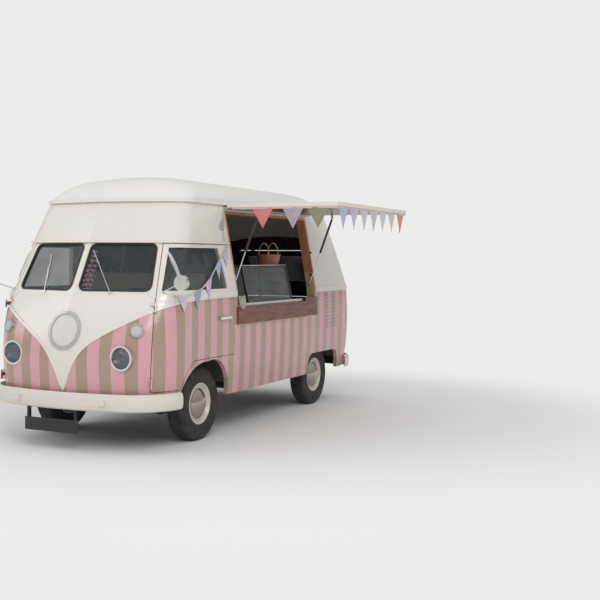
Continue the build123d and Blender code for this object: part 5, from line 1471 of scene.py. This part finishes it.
@dataclass
class Garland:
    """The tissue garland that hangs behind the windscreen, ruffle over ruffle."""

    palette: Palette
    top: Triple = (-8.0, 500.0, 1626.0)
    bottom: Triple = (-72.0, 500.0, 1305.0)
    ruffles: int = 9
    radius: float = 0.052
    petals: int = 7
    segments: int = 56
    rings: int = 4
    frill: float = 0.011
    droop: float = 0.016
    ribbon_half: float = 0.003
    cut_width: float = 0.10

    def build(self) -> None:
        """Make the ruffles and the ribbon that they are threaded on."""
        points, faces, maps = [], [], []
        top, bottom = van(*self.top), van(*self.bottom)
        for ruffle in range(self.ruffles):
            share = ruffle / (self.ruffles - 1)
            centre = top.lerp(bottom, share)
            size = self.radius * (0.62 + 0.38 * math.sin(math.pi * (0.15 + 0.75 * share)))
            first = len(points)
            for ring in range(self.rings + 1):
                out = ring / self.rings
                reach = size * (0.08 + 0.92 * ring / self.rings)
                for step in range(self.segments):
                    turn = FULL_TURN * step / self.segments
                    frill = math.sin(self.petals * turn + ruffle * 1.9) * self.frill * out**1.5
                    x, y = reach * math.cos(turn), reach * math.sin(turn)
                    points.append((centre.x + x, centre.y + y, centre.z + frill - self.droop * out**2))
                    maps.append((x, y))
            for ring in range(self.rings):
                for step in range(self.segments):
                    a = first + ring * self.segments + step
                    b = first + ring * self.segments + (step + 1) % self.segments
                    faces.append((a, b, b + self.segments, a + self.segments))
        first = len(points)
        hook = Bench.probe("forehead_panel").find_nearest(Vector((top.x, top.y, top.z + 0.03)))[0]
        for spot in (Vector((top.x, hook.y, hook.z)), top, bottom):
            for aside in (-self.ribbon_half, self.ribbon_half):
                points.append((spot.x + aside, spot.y, spot.z))
                maps.append((aside, spot.z))
        faces += [(first, first + 2, first + 3, first + 1), (first + 2, first + 4, first + 5, first + 3)]
        piece = Bench.sheet_of("tissue_garland", points, faces, maps)
        Bench.clear()
        Bench.modify(piece, "SOLIDIFY", thickness=0.0006, offset=0.0)
        Bench.finish(piece, "tissue_garland", self.palette.get("tissue_pink"), "body", 80.0)


@dataclass
class Tread:
    """Rubber blocks round each tyre, in three ribs."""

    palette: Palette
    blocks: int = 54
    block_share: float = 0.72
    ribs: tuple[float, ...] = (-0.040, 0.0, 0.040)
    block_width: float = 0.030
    block_taper: float = 0.92
    block_faces: tuple[tuple[int, ...], ...] = (
        (4, 5, 6, 7), (0, 3, 2, 1), (0, 1, 5, 4), (1, 2, 6, 5), (2, 3, 7, 6), (3, 0, 4, 7),
    )
    skew: float = 0.012
    proud: float = 0.001
    round_off: float = 0.03
    sunk: float = 0.004

    def shape(self, centre: Vector, radius: float) -> tuple[list[tuple], list[tuple]]:
        """Lay the blocks out round a tyre.

        Args:
            centre: The tyre's middle.
            radius: Its radius.

        Returns:
            The blocks' points and faces.
        """
        points, faces = [], []
        for rib_index, rib in enumerate(self.ribs):
            reach = radius + self.proud - abs(rib) * self.round_off
            for index in range(self.blocks):
                begin = FULL_TURN * (index + 0.5 * (rib_index % 2)) / self.blocks
                end = begin + FULL_TURN * self.block_share / self.blocks
                first = len(points)
                for depth, taper in ((self.sunk, 1.0), (0.0, self.block_taper)):
                    for turn, side in ((begin, -1), (end, -1), (end, 1), (begin, 1)):
                        across = rib + side * self.block_width / 2 * taper
                        angle = turn + side * self.skew
                        y, z = (reach - depth) * math.cos(angle), (reach - depth) * math.sin(angle)
                        points.append((centre.x + across, centre.y + y, centre.z + z))
                faces += [tuple(first + corner for corner in face) for face in self.block_faces]
        return points, faces

    def build(self) -> None:
        """Give every tyre its tread."""
        for wheel in Wheel:
            low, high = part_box("tyre_" + wheel.value)
            name = "tread_" + wheel.value
            piece = Bench.sheet_of(name, *self.shape((low + high) / 2, (high.z - low.z) / 2))
            Bench.finish(piece, name, self.palette.get("tyre_rubber"), "wheel_" + wheel.value, 20.0)


# The studio.


@dataclass
class Studio:
    """Pale floor, soft light and the photographer's camera."""

    photo_px: int = 600
    lens_px: float = 989.35
    azimuth_deg: float = 24.83
    pitch_deg: float = -2.49
    roll_deg: float = 0.37
    stand: Triple = (5079.0, -6336.0, 1579.0)
    backdrop: Colour = (0.86, 0.85, 0.83, 1)
    paper: Colour = (0.84, 0.84, 0.83, 1)
    sky: Colour = (0.96, 0.98, 1.0, 1)
    floor_from: float = 2.6
    floor_to: float = 5.2

    def set_camera(self) -> None:
        """Put the camera where the photograph was taken from."""
        data = bpy.data.cameras.new("photographer")
        camera = bpy.data.objects.new("photographer", data)
        bpy.context.scene.collection.objects.link(camera)
        data.sensor_width = 36.0
        data.lens = data.sensor_width * self.lens_px / self.photo_px
        data.clip_end = 200.0
        azimuth, pitch, roll = (math.radians(a) for a in (self.azimuth_deg, self.pitch_deg, self.roll_deg))
        level_x, level_y = -math.sin(azimuth) * math.cos(pitch), math.cos(azimuth) * math.cos(pitch)
        ahead = Vector((level_x, level_y, math.sin(pitch)))
        level = Vector((math.cos(azimuth), math.sin(azimuth), 0.0))
        upright = level.cross(ahead)
        right = math.cos(roll) * level + math.sin(roll) * upright
        up = -math.sin(roll) * level + math.cos(roll) * upright
        turn = Matrix((right, up, -ahead)).transposed()
        camera.matrix_world = Matrix.Translation(van(*self.stand)) @ turn.to_4x4()
        bpy.context.scene.camera = camera

    def lay_floor(self) -> None:
        """Lay a wide pale floor that keeps the van's shadow."""
        bpy.ops.mesh.primitive_plane_add(size=120.0, location=(0, 0, 0))
        floor = bpy.context.active_object
        floor.name = "floor"
        material = bpy.data.materials.new("floor_paper")
        material.use_nodes = True
        material.node_tree.nodes.clear()
        w = Wiring(material.node_tree)
        shader = w.add("BsdfPrincipled", {"Base Color": self.backdrop, "Roughness": 0.9})
        glow = w.add("Emission", {"Color": self.paper, "Strength": 1.0})
        x, y, _ = w.split(w.here())
        reach = w.math("SQRT", w.math("ADD", w.math("POWER", x, 2.0), w.math("POWER", y, 2.0)))
        ends = {0: reach, 1: self.floor_from, 2: self.floor_to}
        far = w.add("MapRange", ends, interpolation_type="SMOOTHERSTEP").outputs[0]
        both = w.add("MixShader", {0: far, 1: shader.outputs[0], 2: glow.outputs[0]})
        w.add("OutputMaterial", {"Surface": both.outputs[0]})
        floor.data.materials.append(material)

    def light(self) -> None:
        """Light the van evenly from a pale sky and two large soft lamps."""
        world = bpy.data.worlds.new("studio_air")
        bpy.context.scene.world = world
        world.use_nodes = True
        world.node_tree.nodes.clear()
        w = Wiring(world.node_tree)
        path = w.add("LightPath").outputs
        seen = w.math("MAXIMUM", path["Is Camera Ray"], path["Is Transmission Ray"])
        up = w.split(w.add("TexCoord").outputs["Generated"])[Axis.Z]
        sky = w.add("Background", {"Color": self.sky, "Strength": w.span(up, -0.1, 0.9, 0.42, 0.80)})
        paper = w.add("Background", {"Color": self.paper, "Strength": 1.0})
        both = w.add("MixShader", {0: seen, 1: sky.outputs[0], 2: paper.outputs[0]})
        w.add("OutputWorld", {"Surface": both.outputs[0]})
        self.lamp("key_window", (6.0, -8.5, 7.0), 420.0, 5.0)
        self.lamp("fill_window", (-7.0, -6.0, 5.0), 110.0, 5.0)

    def lamp(self, name: str, at: Triple, power: float, size: float) -> None:
        """Hang one large soft lamp that faces the van.

        Args:
            name: The lamp's name.
            at: Its place in metres.
            power: Its power in watts.
            size: Its width and height in metres.
        """
        data = bpy.data.lights.new(name, "AREA")
        data.energy, data.size = power, size
        lamp = bpy.data.objects.new(name, data)
        lamp.location = at
        lamp.rotation_mode = "QUATERNION"
        lamp.rotation_quaternion = (Vector((0, 0, 1.0)) - Vector(at)).to_track_quat("-Z", "Y")
        bpy.context.scene.collection.objects.link(lamp)

    def build(self) -> None:
        """Set up the whole studio."""
        bpy.context.scene.view_settings.view_transform = "Standard"
        self.set_camera()
        self.lay_floor()
        self.light()
        log.info("studio ready")


def main() -> None:
    """Build the van's looks piece by piece."""
    logging.basicConfig(level=logging.INFO, format="%(name)s: %(message)s")
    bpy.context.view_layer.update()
    bpy.ops.object.select_all(action="DESELECT")
    Studio().build()
    Stripes().build()
    SurfaceEffects().build()
    palette = Palette()
    NodeLooks().dress(palette)
    for maker in (Bunting, Seat, Basket, Cabinet, HatchTrim, Garland, Tread):
        maker(palette).build()


if __name__ == "__main__":
    main()
